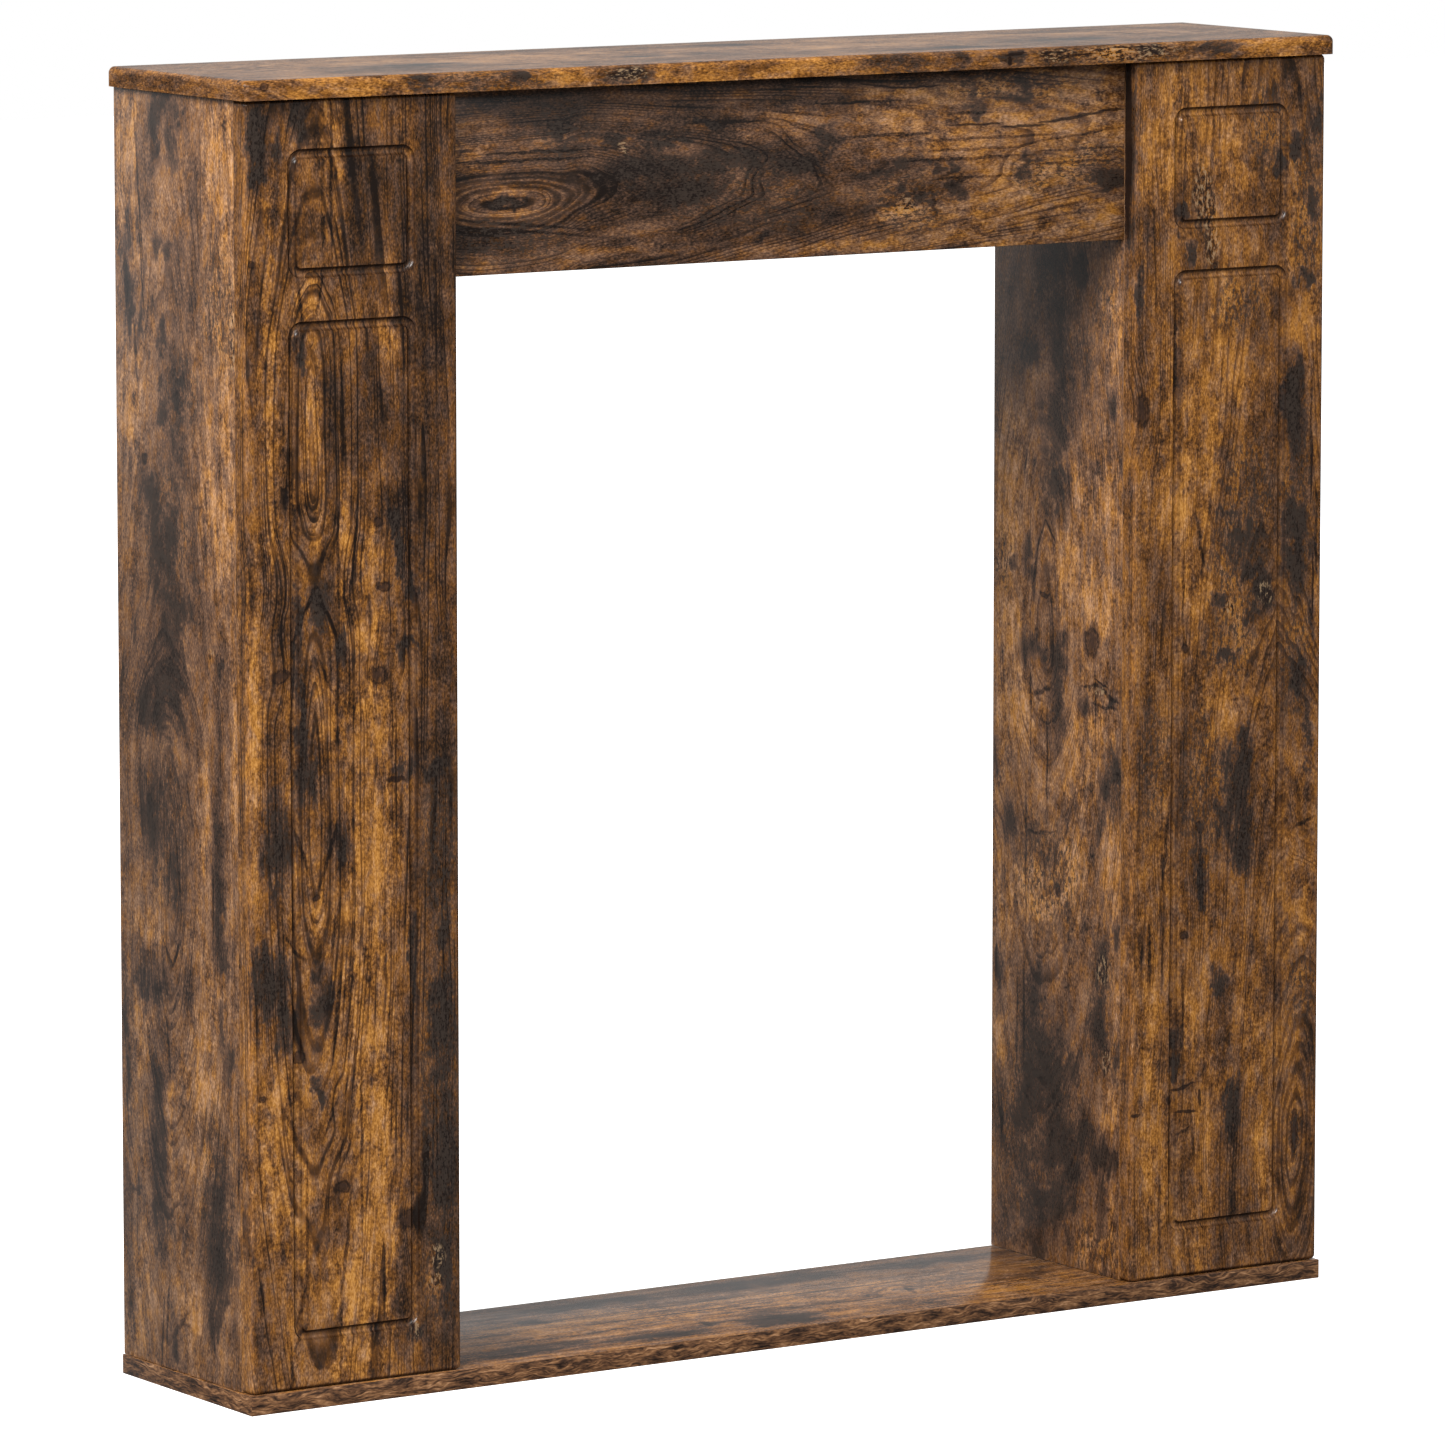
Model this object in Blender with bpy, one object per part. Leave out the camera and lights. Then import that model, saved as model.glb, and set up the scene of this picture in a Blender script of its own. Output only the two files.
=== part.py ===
"""Free-standing fireplace surround made of nine flat boards with a printed rustic wood finish.

A base board lies on the floor. Two hollow legs stand on it, each made of an outer side, an inner side
and a front panel, and open at the back. A lintel board joins the legs behind the front panels, and a
mantel board lies on top. Two frames are routed into each front panel, a short one over a tall one.

+X is to the right as one faces the surround, +Y is towards the wall and +Z is up. The origin is on the
floor, in the middle of the mantel's width and depth.
"""

import math

import bmesh
import bpy
from mathutils import Matrix

MM = 0.001

# Driving dimensions, in millimetres

# Overall size, which is the mantel's outline and the height of its top
OVERALL_WIDTH = 1000.0
OVERALL_DEPTH = 200.0
OVERALL_HEIGHT = 1000.0

# Board thicknesses
BASE_THICKNESS = 15.0
MANTEL_THICKNESS = 15.0
SIDE_THICKNESS = 15.0
FRONT_THICKNESS = 15.0
LINTEL_THICKNESS = 15.0

# How far the mantel stands out past the base
MANTEL_END_OVERHANG = 2.5
MANTEL_FRONT_OVERHANG = 5.0

# How far the legs stand back from the base's edges
LEG_END_SETBACK = 1.5
LEG_FRONT_SETBACK = 2.0

LEG_WIDTH = 184.5
LINTEL_HEIGHT = 140.0

# How far the lintel's front stands back from the sides' front edges
LINTEL_SETBACK = 0.0

# Softened edges: the mantel's top edge and its front corners in plan, and the front panels' likewise
MANTEL_ROUND_OVER = 5.0
MANTEL_CORNER_RADIUS = 5.5
PANEL_ROUND_OVER = 3.5
PANEL_CORNER_RADIUS = 4.0

# Routed frames, from a panel's edges to the groove's outer edge
FRAME_SIDE_MARGIN = 37.0
FRAME_TOP_MARGIN = 37.0
FRAME_BOTTOM_MARGIN = 37.0
UPPER_FRAME_HEIGHT = 96.0
FRAME_SPACING = 32.0

# The router bit has a round nose, and the inner radius is that of the groove's corners
GROOVE_BIT_RADIUS = 4.0
GROOVE_DEPTH = 3.0
GROOVE_INNER_RADIUS = 3.8

# Gap left between two boards that touch
CONTACT_GAP = 0.3

# Straight steps that stand for each quarter turn of a rounded edge and for the groove's half round
ROUND_OVER_STEPS = 5
CORNER_STEPS = 5
GROOVE_STEPS = 8
GROOVE_CORNER_STEPS = 7

# How far a cutter stands out of the face that it cuts
CUTTER_CLEARANCE = 1.0

# Points of a rounded edge closer together than this are made one
WELD_DISTANCE = 0.0001

# Faces that meet at a smaller angle than this are shaded as one smooth surface
SMOOTH_ANGLE = math.radians(30)

# Mean colours of the printed decors, and how rough their lacquer is
SIDE_COLOUR = (0.16, 0.1, 0.055)
PANEL_COLOUR = (0.2, 0.11, 0.05)
BASE_COLOUR = (0.19, 0.105, 0.055)
LINTEL_COLOUR = (0.17, 0.095, 0.045)
MANTEL_COLOUR = (0.23, 0.125, 0.055)
MATT_ROUGHNESS = 0.28
GLOSSY_ROUGHNESS = 0.25

# Places worked out from the driving dimensions

MANTEL_LEFT = -OVERALL_WIDTH / 2
MANTEL_RIGHT = OVERALL_WIDTH / 2
MANTEL_FRONT = -OVERALL_DEPTH / 2
BACK = OVERALL_DEPTH / 2
MANTEL_BOTTOM = OVERALL_HEIGHT - MANTEL_THICKNESS

BASE_LEFT = MANTEL_LEFT + MANTEL_END_OVERHANG
BASE_RIGHT = MANTEL_RIGHT - MANTEL_END_OVERHANG
BASE_FRONT = MANTEL_FRONT + MANTEL_FRONT_OVERHANG

LEG_FRONT = BASE_FRONT + LEG_FRONT_SETBACK
LEG_BOTTOM = BASE_THICKNESS + CONTACT_GAP
LEG_TOP = MANTEL_BOTTOM - CONTACT_GAP
LEFT_LEG_OUTSIDE = BASE_LEFT + LEG_END_SETBACK
RIGHT_LEG_OUTSIDE = BASE_RIGHT - LEG_END_SETBACK
LEFT_LEG_INSIDE = LEFT_LEG_OUTSIDE + LEG_WIDTH
RIGHT_LEG_INSIDE = RIGHT_LEG_OUTSIDE - LEG_WIDTH
SIDE_FRONT = LEG_FRONT + FRONT_THICKNESS + CONTACT_GAP


def wood_material(name, colour, roughness):
    """A printed wood decor under a smooth lacquer, as one plain colour."""
    material = bpy.data.materials.new(name)
    material.use_nodes = True
    shader = material.node_tree.nodes["Principled BSDF"]
    shader.inputs["Base Color"].default_value = (*colour, 1.0)
    shader.inputs["Roughness"].default_value = roughness
    shader.inputs["Metallic"].default_value = 0.0
    material.diffuse_color = (*colour, 1.0)
    return material


def object_from(mesh_data, name, material):
    """Turns a bmesh into an object of the scene with its faces pointing out and its rounds smooth."""
    bmesh.ops.recalc_face_normals(mesh_data, faces=mesh_data.faces)
    mesh = bpy.data.meshes.new(name)
    mesh_data.to_mesh(mesh)
    mesh_data.free()
    mesh.shade_smooth()
    mesh.set_sharp_from_angle(angle=SMOOTH_ANGLE)
    obj = bpy.data.objects.new(name, mesh)
    bpy.context.scene.collection.objects.link(obj)
    if material:
        mesh.materials.append(material)
    return obj


def square_board(name, low, high, material):
    """A board with square edges between two corners, with its object's origin at its middle."""
    middle = [(a + b) / 2 * MM for a, b in zip(low, high)]
    size = [(b - a) * MM for a, b in zip(low, high)]
    data = bmesh.new()
    bmesh.ops.create_cube(data, size=1.0, matrix=Matrix.Diagonal((*size, 1.0)))
    board = object_from(data, name, material)
    board.location = middle
    return board


def rounded_rectangle(left, right, low, high, radius, steps):
    """Corners of a rectangle rounded to a radius, as a closed list of points, anticlockwise."""
    if radius <= 0.0:
        return [(right, high), (left, high), (left, low), (right, low)]
    points = []
    middles = [
        (right - radius, high - radius, 0),
        (left + radius, high - radius, 90),
        (left + radius, low + radius, 180),
        (right - radius, low + radius, 270),
    ]
    for middle_x, middle_y, start in middles:
        for step in range(steps + 1):
            angle = math.radians(start + 90 * step / steps)
            points.append((middle_x + radius * math.cos(angle), middle_y + radius * math.sin(angle)))
    return points


def add_loop(data, points, height):
    return [data.verts.new((x * MM, y * MM, height * MM)) for x, y in points]


def bridge(data, first, second):
    """Joins two loops of as many points with a ring of four-sided faces."""
    count = len(first)
    for index in range(count):
        following = (index + 1) % count
        data.faces.new((first[index], first[following], second[following], second[index]))


def soft_edged_board(
    name, width, height, thickness, corner_radius, round_over, material, square_below=None
):
    """A board lying on its back, with rounded corners and a rounded front edge all round.

    Its back is at z = 0 and its front at z = thickness, with the middle of its outline at the origin.
    With square_below, the part of the outline under that y is cut off, which leaves a square end.
    """
    left, right = -width / 2, width / 2
    low, high = -height / 2, height / 2
    if square_below is not None:
        # The outline first runs on past the cut, so that its whole rounded end comes away
        rounded_end = corner_radius + round_over
        low -= 2 * rounded_end
    data = bmesh.new()
    outline = rounded_rectangle(left, right, low, high, corner_radius, CORNER_STEPS)
    loops = [add_loop(data, outline, 0.0)]
    for step in range(ROUND_OVER_STEPS + 1):
        angle = math.radians(90 * step / ROUND_OVER_STEPS)
        inset = round_over * (1 - math.cos(angle))
        level = thickness - round_over * (1 - math.sin(angle))
        radius = max(corner_radius - inset, 0.0)
        sides = (left + inset, right - inset, low + inset, high - inset)
        corners = rounded_rectangle(*sides, radius, CORNER_STEPS)
        if len(corners) < len(outline):
            corners = [corner for corner in corners for _ in range(CORNER_STEPS + 1)]
        loops.append(add_loop(data, corners, level))
    for first, second in zip(loops, loops[1:]):
        bridge(data, first, second)
    data.faces.new(loops[0])
    data.faces.new(loops[-1])
    if square_below is not None:
        everything = list(data.verts) + list(data.edges) + list(data.faces)
        cut = bmesh.ops.bisect_plane(
            data,
            geom=everything,
            plane_co=(0.0, square_below * MM, 0.0),
            plane_no=(0.0, 1.0, 0.0),
            clear_inner=True,
        )
        rim = [item for item in cut["geom_cut"] if isinstance(item, bmesh.types.BMEdge)]
        bmesh.ops.edgenet_fill(data, edges=rim)
    bmesh.ops.remove_doubles(data, verts=data.verts, dist=WELD_DISTANCE * MM)
    return object_from(data, name, material)


def groove_profile():
    """Half widths and depths of the router bit's outline, from one lip round the nose to the other."""
    above = GROOVE_BIT_RADIUS - GROOVE_DEPTH - CUTTER_CLEARANCE
    reach = math.acos(max(above, 0.0) / GROOVE_BIT_RADIUS)
    profile = []
    for step in range(GROOVE_STEPS + 1):
        angle = reach * (2 * step / GROOVE_STEPS - 1)
        offset = GROOVE_BIT_RADIUS * math.sin(angle)
        depth = GROOVE_DEPTH - GROOVE_BIT_RADIUS * (1 - math.cos(angle))
        profile.append((offset, depth))
    lip = profile[0][0]
    if profile[0][1] > -CUTTER_CLEARANCE:
        profile = [(lip, -CUTTER_CLEARANCE)] + profile + [(-lip, -CUTTER_CLEARANCE)]
    return profile


def groove_half_width():
    """Half the groove's width at the face that it is cut into."""
    if GROOVE_DEPTH >= GROOVE_BIT_RADIUS:
        return GROOVE_BIT_RADIUS
    return math.sqrt(2 * GROOVE_BIT_RADIUS * GROOVE_DEPTH - GROOVE_DEPTH**2)


def frame_cutter(name, left, right, low, high, face_level):
    """The solid that a router bit sweeps along a rounded frame, given by the groove's outer edges."""
    half = groove_half_width()
    path_radius = GROOVE_INNER_RADIUS + half
    data = bmesh.new()
    rings = []
    for offset, depth in groove_profile():
        grow = offset - half
        path = rounded_rectangle(
            left - grow,
            right + grow,
            low - grow,
            high + grow,
            path_radius + offset,
            GROOVE_CORNER_STEPS,
        )
        rings.append(add_loop(data, path, face_level - depth))
    for first, second in zip(rings, rings[1:] + rings[:1]):
        bridge(data, first, second)
    cutter = object_from(data, name, None)
    cutter.hide_render = True
    cutter.display_type = "WIRE"
    return cutter


def cut(board, cutter):
    cutter.parent = board
    modifier = board.modifiers.new(cutter.name, "BOOLEAN")
    modifier.operation = "DIFFERENCE"
    modifier.solver = "EXACT"
    modifier.object = cutter


def front_panel(side, left, right, material):
    """A leg's front panel with its two routed frames, stood up from lying on its back."""
    width = right - left
    height = LEG_TOP - LEG_BOTTOM
    panel = soft_edged_board(
        f"{side}_front_panel",
        width,
        height,
        FRONT_THICKNESS,
        PANEL_CORNER_RADIUS,
        PANEL_ROUND_OVER,
        material,
    )
    frame_left = -width / 2 + FRAME_SIDE_MARGIN
    frame_right = width / 2 - FRAME_SIDE_MARGIN
    upper_high = height / 2 - FRAME_TOP_MARGIN
    upper_low = upper_high - UPPER_FRAME_HEIGHT
    lower_high = upper_low - FRAME_SPACING
    lower_low = -height / 2 + FRAME_BOTTOM_MARGIN
    for name, low, high in (("upper", upper_low, upper_high), ("lower", lower_low, lower_high)):
        cutter = frame_cutter(
            f"{side}_{name}_frame_cutter",
            frame_left,
            frame_right,
            low,
            high,
            FRONT_THICKNESS,
        )
        cut(panel, cutter)
    panel.rotation_euler = (math.radians(90), 0.0, 0.0)
    back_of_panel = LEG_FRONT + FRONT_THICKNESS
    panel.location = ((left + right) / 2 * MM, back_of_panel * MM, (LEG_BOTTOM + LEG_TOP) / 2 * MM)
    return panel


def leg(side, left, right, materials):
    """A hollow leg, open at the back: two sides and the panel that covers their front edges."""
    outer_material, inner_material, front_material = materials
    boards = [("outer", left, outer_material), ("inner", right - SIDE_THICKNESS, inner_material)]
    if side == "right":
        boards = [("inner", left, inner_material), ("outer", right - SIDE_THICKNESS, outer_material)]
    for place, start, material in boards:
        square_board(
            f"{side}_{place}_side",
            (start, SIDE_FRONT, LEG_BOTTOM),
            (start + SIDE_THICKNESS, BACK, LEG_TOP),
            material,
        )
    front_panel(side, left, right, front_material)


def base_board():
    square_board(
        "base_board",
        (BASE_LEFT, BASE_FRONT, 0.0),
        (BASE_RIGHT, BACK, BASE_THICKNESS),
        wood_material("base_decor", BASE_COLOUR, MATT_ROUGHNESS),
    )


def lintel_board():
    """The board across the opening, behind the front panels and up against the mantel."""
    front = SIDE_FRONT + LINTEL_SETBACK
    square_board(
        "lintel_board",
        (LEFT_LEG_INSIDE + CONTACT_GAP, front, MANTEL_BOTTOM - LINTEL_HEIGHT),
        (RIGHT_LEG_INSIDE - CONTACT_GAP, front + LINTEL_THICKNESS, LEG_TOP),
        wood_material("lintel_decor", LINTEL_COLOUR, MATT_ROUGHNESS),
    )


def mantel_board():
    """The top board, with its front edge and ends rounded over and its back edge square."""
    mantel = soft_edged_board(
        "mantel_board",
        OVERALL_WIDTH,
        OVERALL_DEPTH,
        MANTEL_THICKNESS,
        MANTEL_CORNER_RADIUS,
        MANTEL_ROUND_OVER,
        wood_material("mantel_decor", MANTEL_COLOUR, GLOSSY_ROUGHNESS),
        square_below=-OVERALL_DEPTH / 2,
    )
    # Half a turn brings the square edge from the board's low side to the wall
    mantel.rotation_euler = (0.0, 0.0, math.radians(180))
    mantel.location = (0.0, 0.0, MANTEL_BOTTOM * MM)
    return mantel


for old in list(bpy.data.objects):
    bpy.data.objects.remove(old, do_unlink=True)

base_board()
leg(
    "left",
    LEFT_LEG_OUTSIDE,
    LEFT_LEG_INSIDE,
    (
        wood_material("left_outer_decor", SIDE_COLOUR, MATT_ROUGHNESS),
        wood_material("left_inner_decor", SIDE_COLOUR, MATT_ROUGHNESS),
        wood_material("left_panel_decor", PANEL_COLOUR, GLOSSY_ROUGHNESS),
    ),
)
leg(
    "right",
    RIGHT_LEG_INSIDE,
    RIGHT_LEG_OUTSIDE,
    (
        wood_material("right_outer_decor", SIDE_COLOUR, MATT_ROUGHNESS),
        wood_material("right_inner_decor", SIDE_COLOUR, MATT_ROUGHNESS),
        wood_material("right_panel_decor", PANEL_COLOUR, GLOSSY_ROUGHNESS),
    ),
)
lintel_board()
mantel_board()
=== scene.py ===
"""Looks of the fireplace surround: nine finely edged boards with a printed rustic wood finish."""

import math

import bmesh
import bpy
from mathutils import Matrix, Vector


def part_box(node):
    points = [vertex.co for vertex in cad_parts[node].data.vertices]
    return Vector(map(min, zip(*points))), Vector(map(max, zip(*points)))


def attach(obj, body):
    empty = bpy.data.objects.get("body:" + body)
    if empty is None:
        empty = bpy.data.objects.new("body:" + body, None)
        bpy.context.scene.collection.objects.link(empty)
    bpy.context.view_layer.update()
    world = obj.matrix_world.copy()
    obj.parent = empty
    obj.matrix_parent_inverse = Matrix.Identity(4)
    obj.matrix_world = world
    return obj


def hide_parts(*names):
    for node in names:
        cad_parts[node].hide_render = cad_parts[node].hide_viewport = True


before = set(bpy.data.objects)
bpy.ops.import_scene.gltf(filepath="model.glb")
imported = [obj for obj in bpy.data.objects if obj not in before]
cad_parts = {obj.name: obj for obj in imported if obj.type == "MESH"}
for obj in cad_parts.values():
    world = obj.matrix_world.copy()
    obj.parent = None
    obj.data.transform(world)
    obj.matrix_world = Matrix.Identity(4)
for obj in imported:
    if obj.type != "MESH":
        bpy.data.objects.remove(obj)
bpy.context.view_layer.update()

MM = 0.001
GRAIN_MAP = "grain_map"

# Rounded edges and routed grooves, as in the solids but in finer steps
MANTEL_ROUND_OVER = 5.0 * MM
MANTEL_CORNER_RADIUS = 5.5 * MM
PANEL_ROUND_OVER = 3.5 * MM
PANEL_CORNER_RADIUS = 4.0 * MM
FRAME_MARGIN = 37.0 * MM
UPPER_FRAME_HEIGHT = 96.0 * MM
FRAME_SPACING = 32.0 * MM
GROOVE_BIT_RADIUS = 4.0 * MM
GROOVE_DEPTH = 3.0 * MM
GROOVE_INNER_RADIUS = 3.8 * MM
ROUND_STEPS = 10
GROOVE_STEPS = 14
CUTTER_CLEARANCE = 1.0 * MM
LEAST_RADIUS = 0.02 * MM

# The square boards' edges are eased by this much
EASED_EDGE = 0.4 * MM
EASED_STEPS = 2

# Edges sharper than this many degrees stay sharp
SMOOTH_ANGLE = 35.0
# How much large faces count over small ones where normals are evened, of 100
FLAT_WEIGHT = 100

# Distances on the grain map, in millimetres, that keep a board's hidden faces apart from its front
BACK_SHIFT = 700.0
END_SHIFT = 300.0

# A face looks along an axis when its normal's share of that axis is over this
FACING = 0.7
# The like limits for a panel's flat ends, for the mantel's ends and, from below, for a lying board's edge
FLAT_END = 0.9
MANTEL_END = 0.75
EDGE_ON = 0.35
# How far past a rounded edge's own stretch, in millimetres, a corner still counts as on it
ROUND_MARGIN = 0.1


def placed(name, data):
    """A new object in the scene."""
    obj = bpy.data.objects.new(name, data)
    bpy.context.scene.collection.objects.link(obj)
    return obj


# Meshes

def board_object(name, data):
    """Turns a bmesh, in the frame's own metres, into an object."""
    bmesh.ops.recalc_face_normals(data, faces=data.faces)
    mesh = bpy.data.meshes.new(name)
    data.to_mesh(mesh)
    data.free()
    mesh.shade_smooth()
    mesh.set_sharp_from_angle(angle=math.radians(SMOOTH_ANGLE))
    return placed(name, mesh)


def eased_board(name, node):
    """A square board with its edges just eased, in the place of a CAD node."""
    low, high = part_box(node)
    data = bmesh.new()
    size = high - low
    placing = Matrix.Translation((low + high) / 2) @ Matrix.Diagonal((*size, 1.0))
    bmesh.ops.create_cube(data, size=1.0, matrix=placing)
    bmesh.ops.bevel(
        data,
        geom=list(data.edges),
        offset=EASED_EDGE,
        segments=EASED_STEPS,
        profile=0.5,
        affect="EDGES",
    )
    return board_object(name, data)


def rounded_rectangle(left, right, low, high, radius, steps):
    """Corners of a rectangle rounded to a radius, as a closed list of points, anticlockwise."""
    points = []
    middles = [
        (right - radius, high - radius, 0),
        (left + radius, high - radius, 90),
        (left + radius, low + radius, 180),
        (right - radius, low + radius, 270),
    ]
    for middle_x, middle_y, start in middles:
        for step in range(steps + 1):
            angle = math.radians(start + 90 * step / steps)
            points.append((middle_x + radius * math.cos(angle), middle_y + radius * math.sin(angle)))
    return points


def add_loop(data, points, height):
    return [data.verts.new((x, y, height)) for x, y in points]


def bridge(data, first, second):
    """Joins two loops of as many points with a ring of four-sided faces."""
    count = len(first)
    for index in range(count):
        following = (index + 1) % count
        data.faces.new((first[index], first[following], second[following], second[index]))


def soft_edged_slab(width, height, thickness, corner_radius, round_over):
    """A slab lying on its back, with rounded corners and a rounded front edge all round."""
    data = bmesh.new()
    outline = rounded_rectangle(-width / 2, width / 2, -height / 2, height / 2, corner_radius, ROUND_STEPS)
    loops = [add_loop(data, outline, 0.0)]
    for step in range(ROUND_STEPS + 1):
        angle = math.radians(90 * step / ROUND_STEPS)
        inset = round_over * (1 - math.cos(angle))
        level = thickness - round_over * (1 - math.sin(angle))
        corners = rounded_rectangle(
            -width / 2 + inset,
            width / 2 - inset,
            -height / 2 + inset,
            height / 2 - inset,
            max(corner_radius - inset, LEAST_RADIUS),
            ROUND_STEPS,
        )
        loops.append(add_loop(data, corners, level))
    for first, second in zip(loops, loops[1:]):
        bridge(data, first, second)
    data.faces.new(loops[0])
    data.faces.new(loops[-1])
    return data


def mantel_object():
    """The mantel, rounded over at the front and the ends and square at the back."""
    low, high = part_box("mantel_board")
    size = high - low
    run_on = 2 * (MANTEL_CORNER_RADIUS + MANTEL_ROUND_OVER)
    data = soft_edged_slab(size.x, size.y + run_on, size.z, MANTEL_CORNER_RADIUS, MANTEL_ROUND_OVER)
    middle = (low + high) / 2
    shift = Matrix.Translation((middle.x, middle.y + run_on / 2, low.z))
    bmesh.ops.transform(data, matrix=shift, verts=data.verts)
    everything = list(data.verts) + list(data.edges) + list(data.faces)
    cut = bmesh.ops.bisect_plane(
        data, geom=everything, plane_co=(0.0, high.y, 0.0), plane_no=(0.0, 1.0, 0.0), clear_outer=True
    )
    rim = [item for item in cut["geom_cut"] if isinstance(item, bmesh.types.BMEdge)]
    bmesh.ops.edgenet_fill(data, edges=rim)
    return board_object("mantel", data)


def groove_cutter(left, right, low, high, face_level):
    """The solid that a round-nosed bit sweeps along a frame, given by the groove's outer edges."""
    half = math.sqrt(2 * GROOVE_BIT_RADIUS * GROOVE_DEPTH - GROOVE_DEPTH**2)
    reach = math.acos((GROOVE_BIT_RADIUS - GROOVE_DEPTH) / GROOVE_BIT_RADIUS)
    profile = [(half, -CUTTER_CLEARANCE)]
    for step in range(GROOVE_STEPS + 1):
        angle = reach * (1 - 2 * step / GROOVE_STEPS)
        depth = GROOVE_DEPTH - GROOVE_BIT_RADIUS * (1 - math.cos(angle))
        profile.append((GROOVE_BIT_RADIUS * math.sin(angle), depth))
    profile.append((-half, -CUTTER_CLEARANCE))
    data = bmesh.new()
    rings = []
    for offset, depth in profile:
        grow = offset - half
        path = rounded_rectangle(
            left - grow,
            right + grow,
            low - grow,
            high + grow,
            GROOVE_INNER_RADIUS + half + offset,
            ROUND_STEPS,
        )
        rings.append(add_loop(data, path, face_level - depth))
    for first, second in zip(rings, rings[1:] + rings[:1]):
        bridge(data, first, second)
    return board_object("cutter", data)


def panel_object(side):
    """A leg's front panel with its two routed frames, stood up in its node's place."""
    low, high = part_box(f"{side}_front_panel")
    width, thickness, height = high - low
    slab = soft_edged_slab(width, height, thickness, PANEL_CORNER_RADIUS, PANEL_ROUND_OVER)
    panel = board_object(f"{side}_panel", slab)
    half_width = width / 2 - FRAME_MARGIN
    top = height / 2 - FRAME_MARGIN
    lower_top = top - UPPER_FRAME_HEIGHT - FRAME_SPACING
    cutters = []
    for frame_top, frame_height in (
        (top, UPPER_FRAME_HEIGHT),
        (lower_top, lower_top + top),
    ):
        cutter = groove_cutter(-half_width, half_width, frame_top - frame_height, frame_top, thickness)
        modifier = panel.modifiers.new("groove", "BOOLEAN")
        modifier.operation = "DIFFERENCE"
        modifier.solver = "EXACT"
        modifier.object = cutter
        cutters.append(cutter)
    graph = bpy.context.evaluated_depsgraph_get()
    cut = bmesh.new()
    cut.from_object(panel, graph)
    for item in cutters + [panel]:
        bpy.data.objects.remove(item, do_unlink=True)
    stand = Matrix.Translation(((low.x + high.x) / 2, high.y, (low.z + high.z) / 2)) @ Matrix.Rotation(
        math.radians(90), 4, "X"
    )
    bmesh.ops.transform(cut, matrix=stand, verts=cut.verts)
    obj = board_object(f"{side}_panel", cut)
    even_flat_faces(obj)
    return obj


def even_flat_faces(obj):
    """Gives large flat faces their own normals at their rims, so that rounds beside them shade evenly."""
    modifier = obj.modifiers.new("flat", "WEIGHTED_NORMAL")
    modifier.keep_sharp = True
    modifier.weight = FLAT_WEIGHT
    graph = bpy.context.evaluated_depsgraph_get()
    mesh = bpy.data.meshes.new_from_object(obj.evaluated_get(graph), depsgraph=graph)
    obj.modifiers.clear()
    old = obj.data
    obj.data = mesh
    bpy.data.meshes.remove(old)


def map_grain(obj, place):
    """Writes each corner's place on the printed sheet, across and along the grain, in metres."""
    mesh = obj.data
    layer = mesh.uv_layers.new(name=GRAIN_MAP)
    for face in mesh.polygons:
        for loop in face.loop_indices:
            point = mesh.vertices[mesh.loops[loop].vertex_index].co / MM
            across, along = place(point, face.normal)
            layer.data[loop].uv = (across * MM, along * MM)


def wrapped(value, low, high, drop, reach):
    """Carries the sheet on round an edge: past the edge's rounded stretch, the drop adds to the width."""
    if value > high - reach:
        return value + drop
    if value < low + reach:
        return value - drop
    return value


def panel_place(node):
    """Grain upright, wrapped round the long edges."""
    low, high = (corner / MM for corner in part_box(node))
    reach = PANEL_ROUND_OVER / MM + ROUND_MARGIN

    def place(point, normal):
        if normal.y > FACING:
            return point.x + BACK_SHIFT, point.z
        drop = max(point.y - low.y, 0.0)
        if abs(normal.z) > FLAT_END:
            return point.x, wrapped(point.z, low.z, high.z, drop, reach)
        return wrapped(point.x, low.x, high.x, drop, reach), point.z

    return place


def side_place(outward):
    """Grain upright on a leg's side, whose good face looks along +X or -X by outward's sign."""

    def place(point, normal):
        if abs(normal.x) > FACING:
            shift = 0.0 if normal.x * outward > 0 else BACK_SHIFT
            return point.y + shift, point.z
        if abs(normal.y) > FACING:
            return point.x + point.y + END_SHIFT, point.z
        return point.y, point.z

    return place


def lintel_place(point, normal):
    """Grain level, seen from the front."""
    if abs(normal.y) > FACING:
        return point.z + (BACK_SHIFT if normal.y > 0 else 0.0), point.x
    if abs(normal.z) > FACING:
        return point.z + (point.y if normal.z > 0 else -point.y), point.x
    return point.z, point.x + point.y


def mantel_place(point, normal):
    """Grain along the mantel, wrapped over its front edge. The ends carry strips of their own."""
    low, high = (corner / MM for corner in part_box("mantel_board"))
    reach = MANTEL_ROUND_OVER / MM + ROUND_MARGIN
    if abs(normal.x) > MANTEL_END:
        return point.z + END_SHIFT, point.y + (0.0 if normal.x < 0 else BACK_SHIFT)
    if normal.z < -FACING:
        return point.y + BACK_SHIFT, point.x
    return wrapped(point.y, low.y, high.y, high.z - point.z, reach), point.x


def base_place(point, normal):
    """Grain along the board on top and along each edge."""
    if abs(normal.z) > FACING:
        return point.y + (BACK_SHIFT if normal.z < 0 else 0.0), point.x
    if abs(normal.x) > abs(normal.y):
        return point.z + END_SHIFT, point.y
    return point.z + END_SHIFT, point.x + (0.0 if normal.y < 0 else BACK_SHIFT)


# Shader arithmetic

def fill(tree, node, inputs):
    """Feeds a node's inputs, by name or number, with fields, other nodes' outputs or plain values."""
    for key, value in inputs.items():
        socket = node.inputs[key]
        if isinstance(value, Field):
            value = value.socket
        if isinstance(value, bpy.types.NodeSocket):
            tree.links.new(value, socket)
        else:
            socket.default_value = value


def add_node(tree, kind, inputs=None, **settings):
    """A new shader node of a kind, with its settings made and its inputs fed."""
    node = tree.nodes.new(f"ShaderNode{kind}")
    for name, value in settings.items():
        setattr(node, name, value)
    fill(tree, node, inputs or {})
    return node


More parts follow.
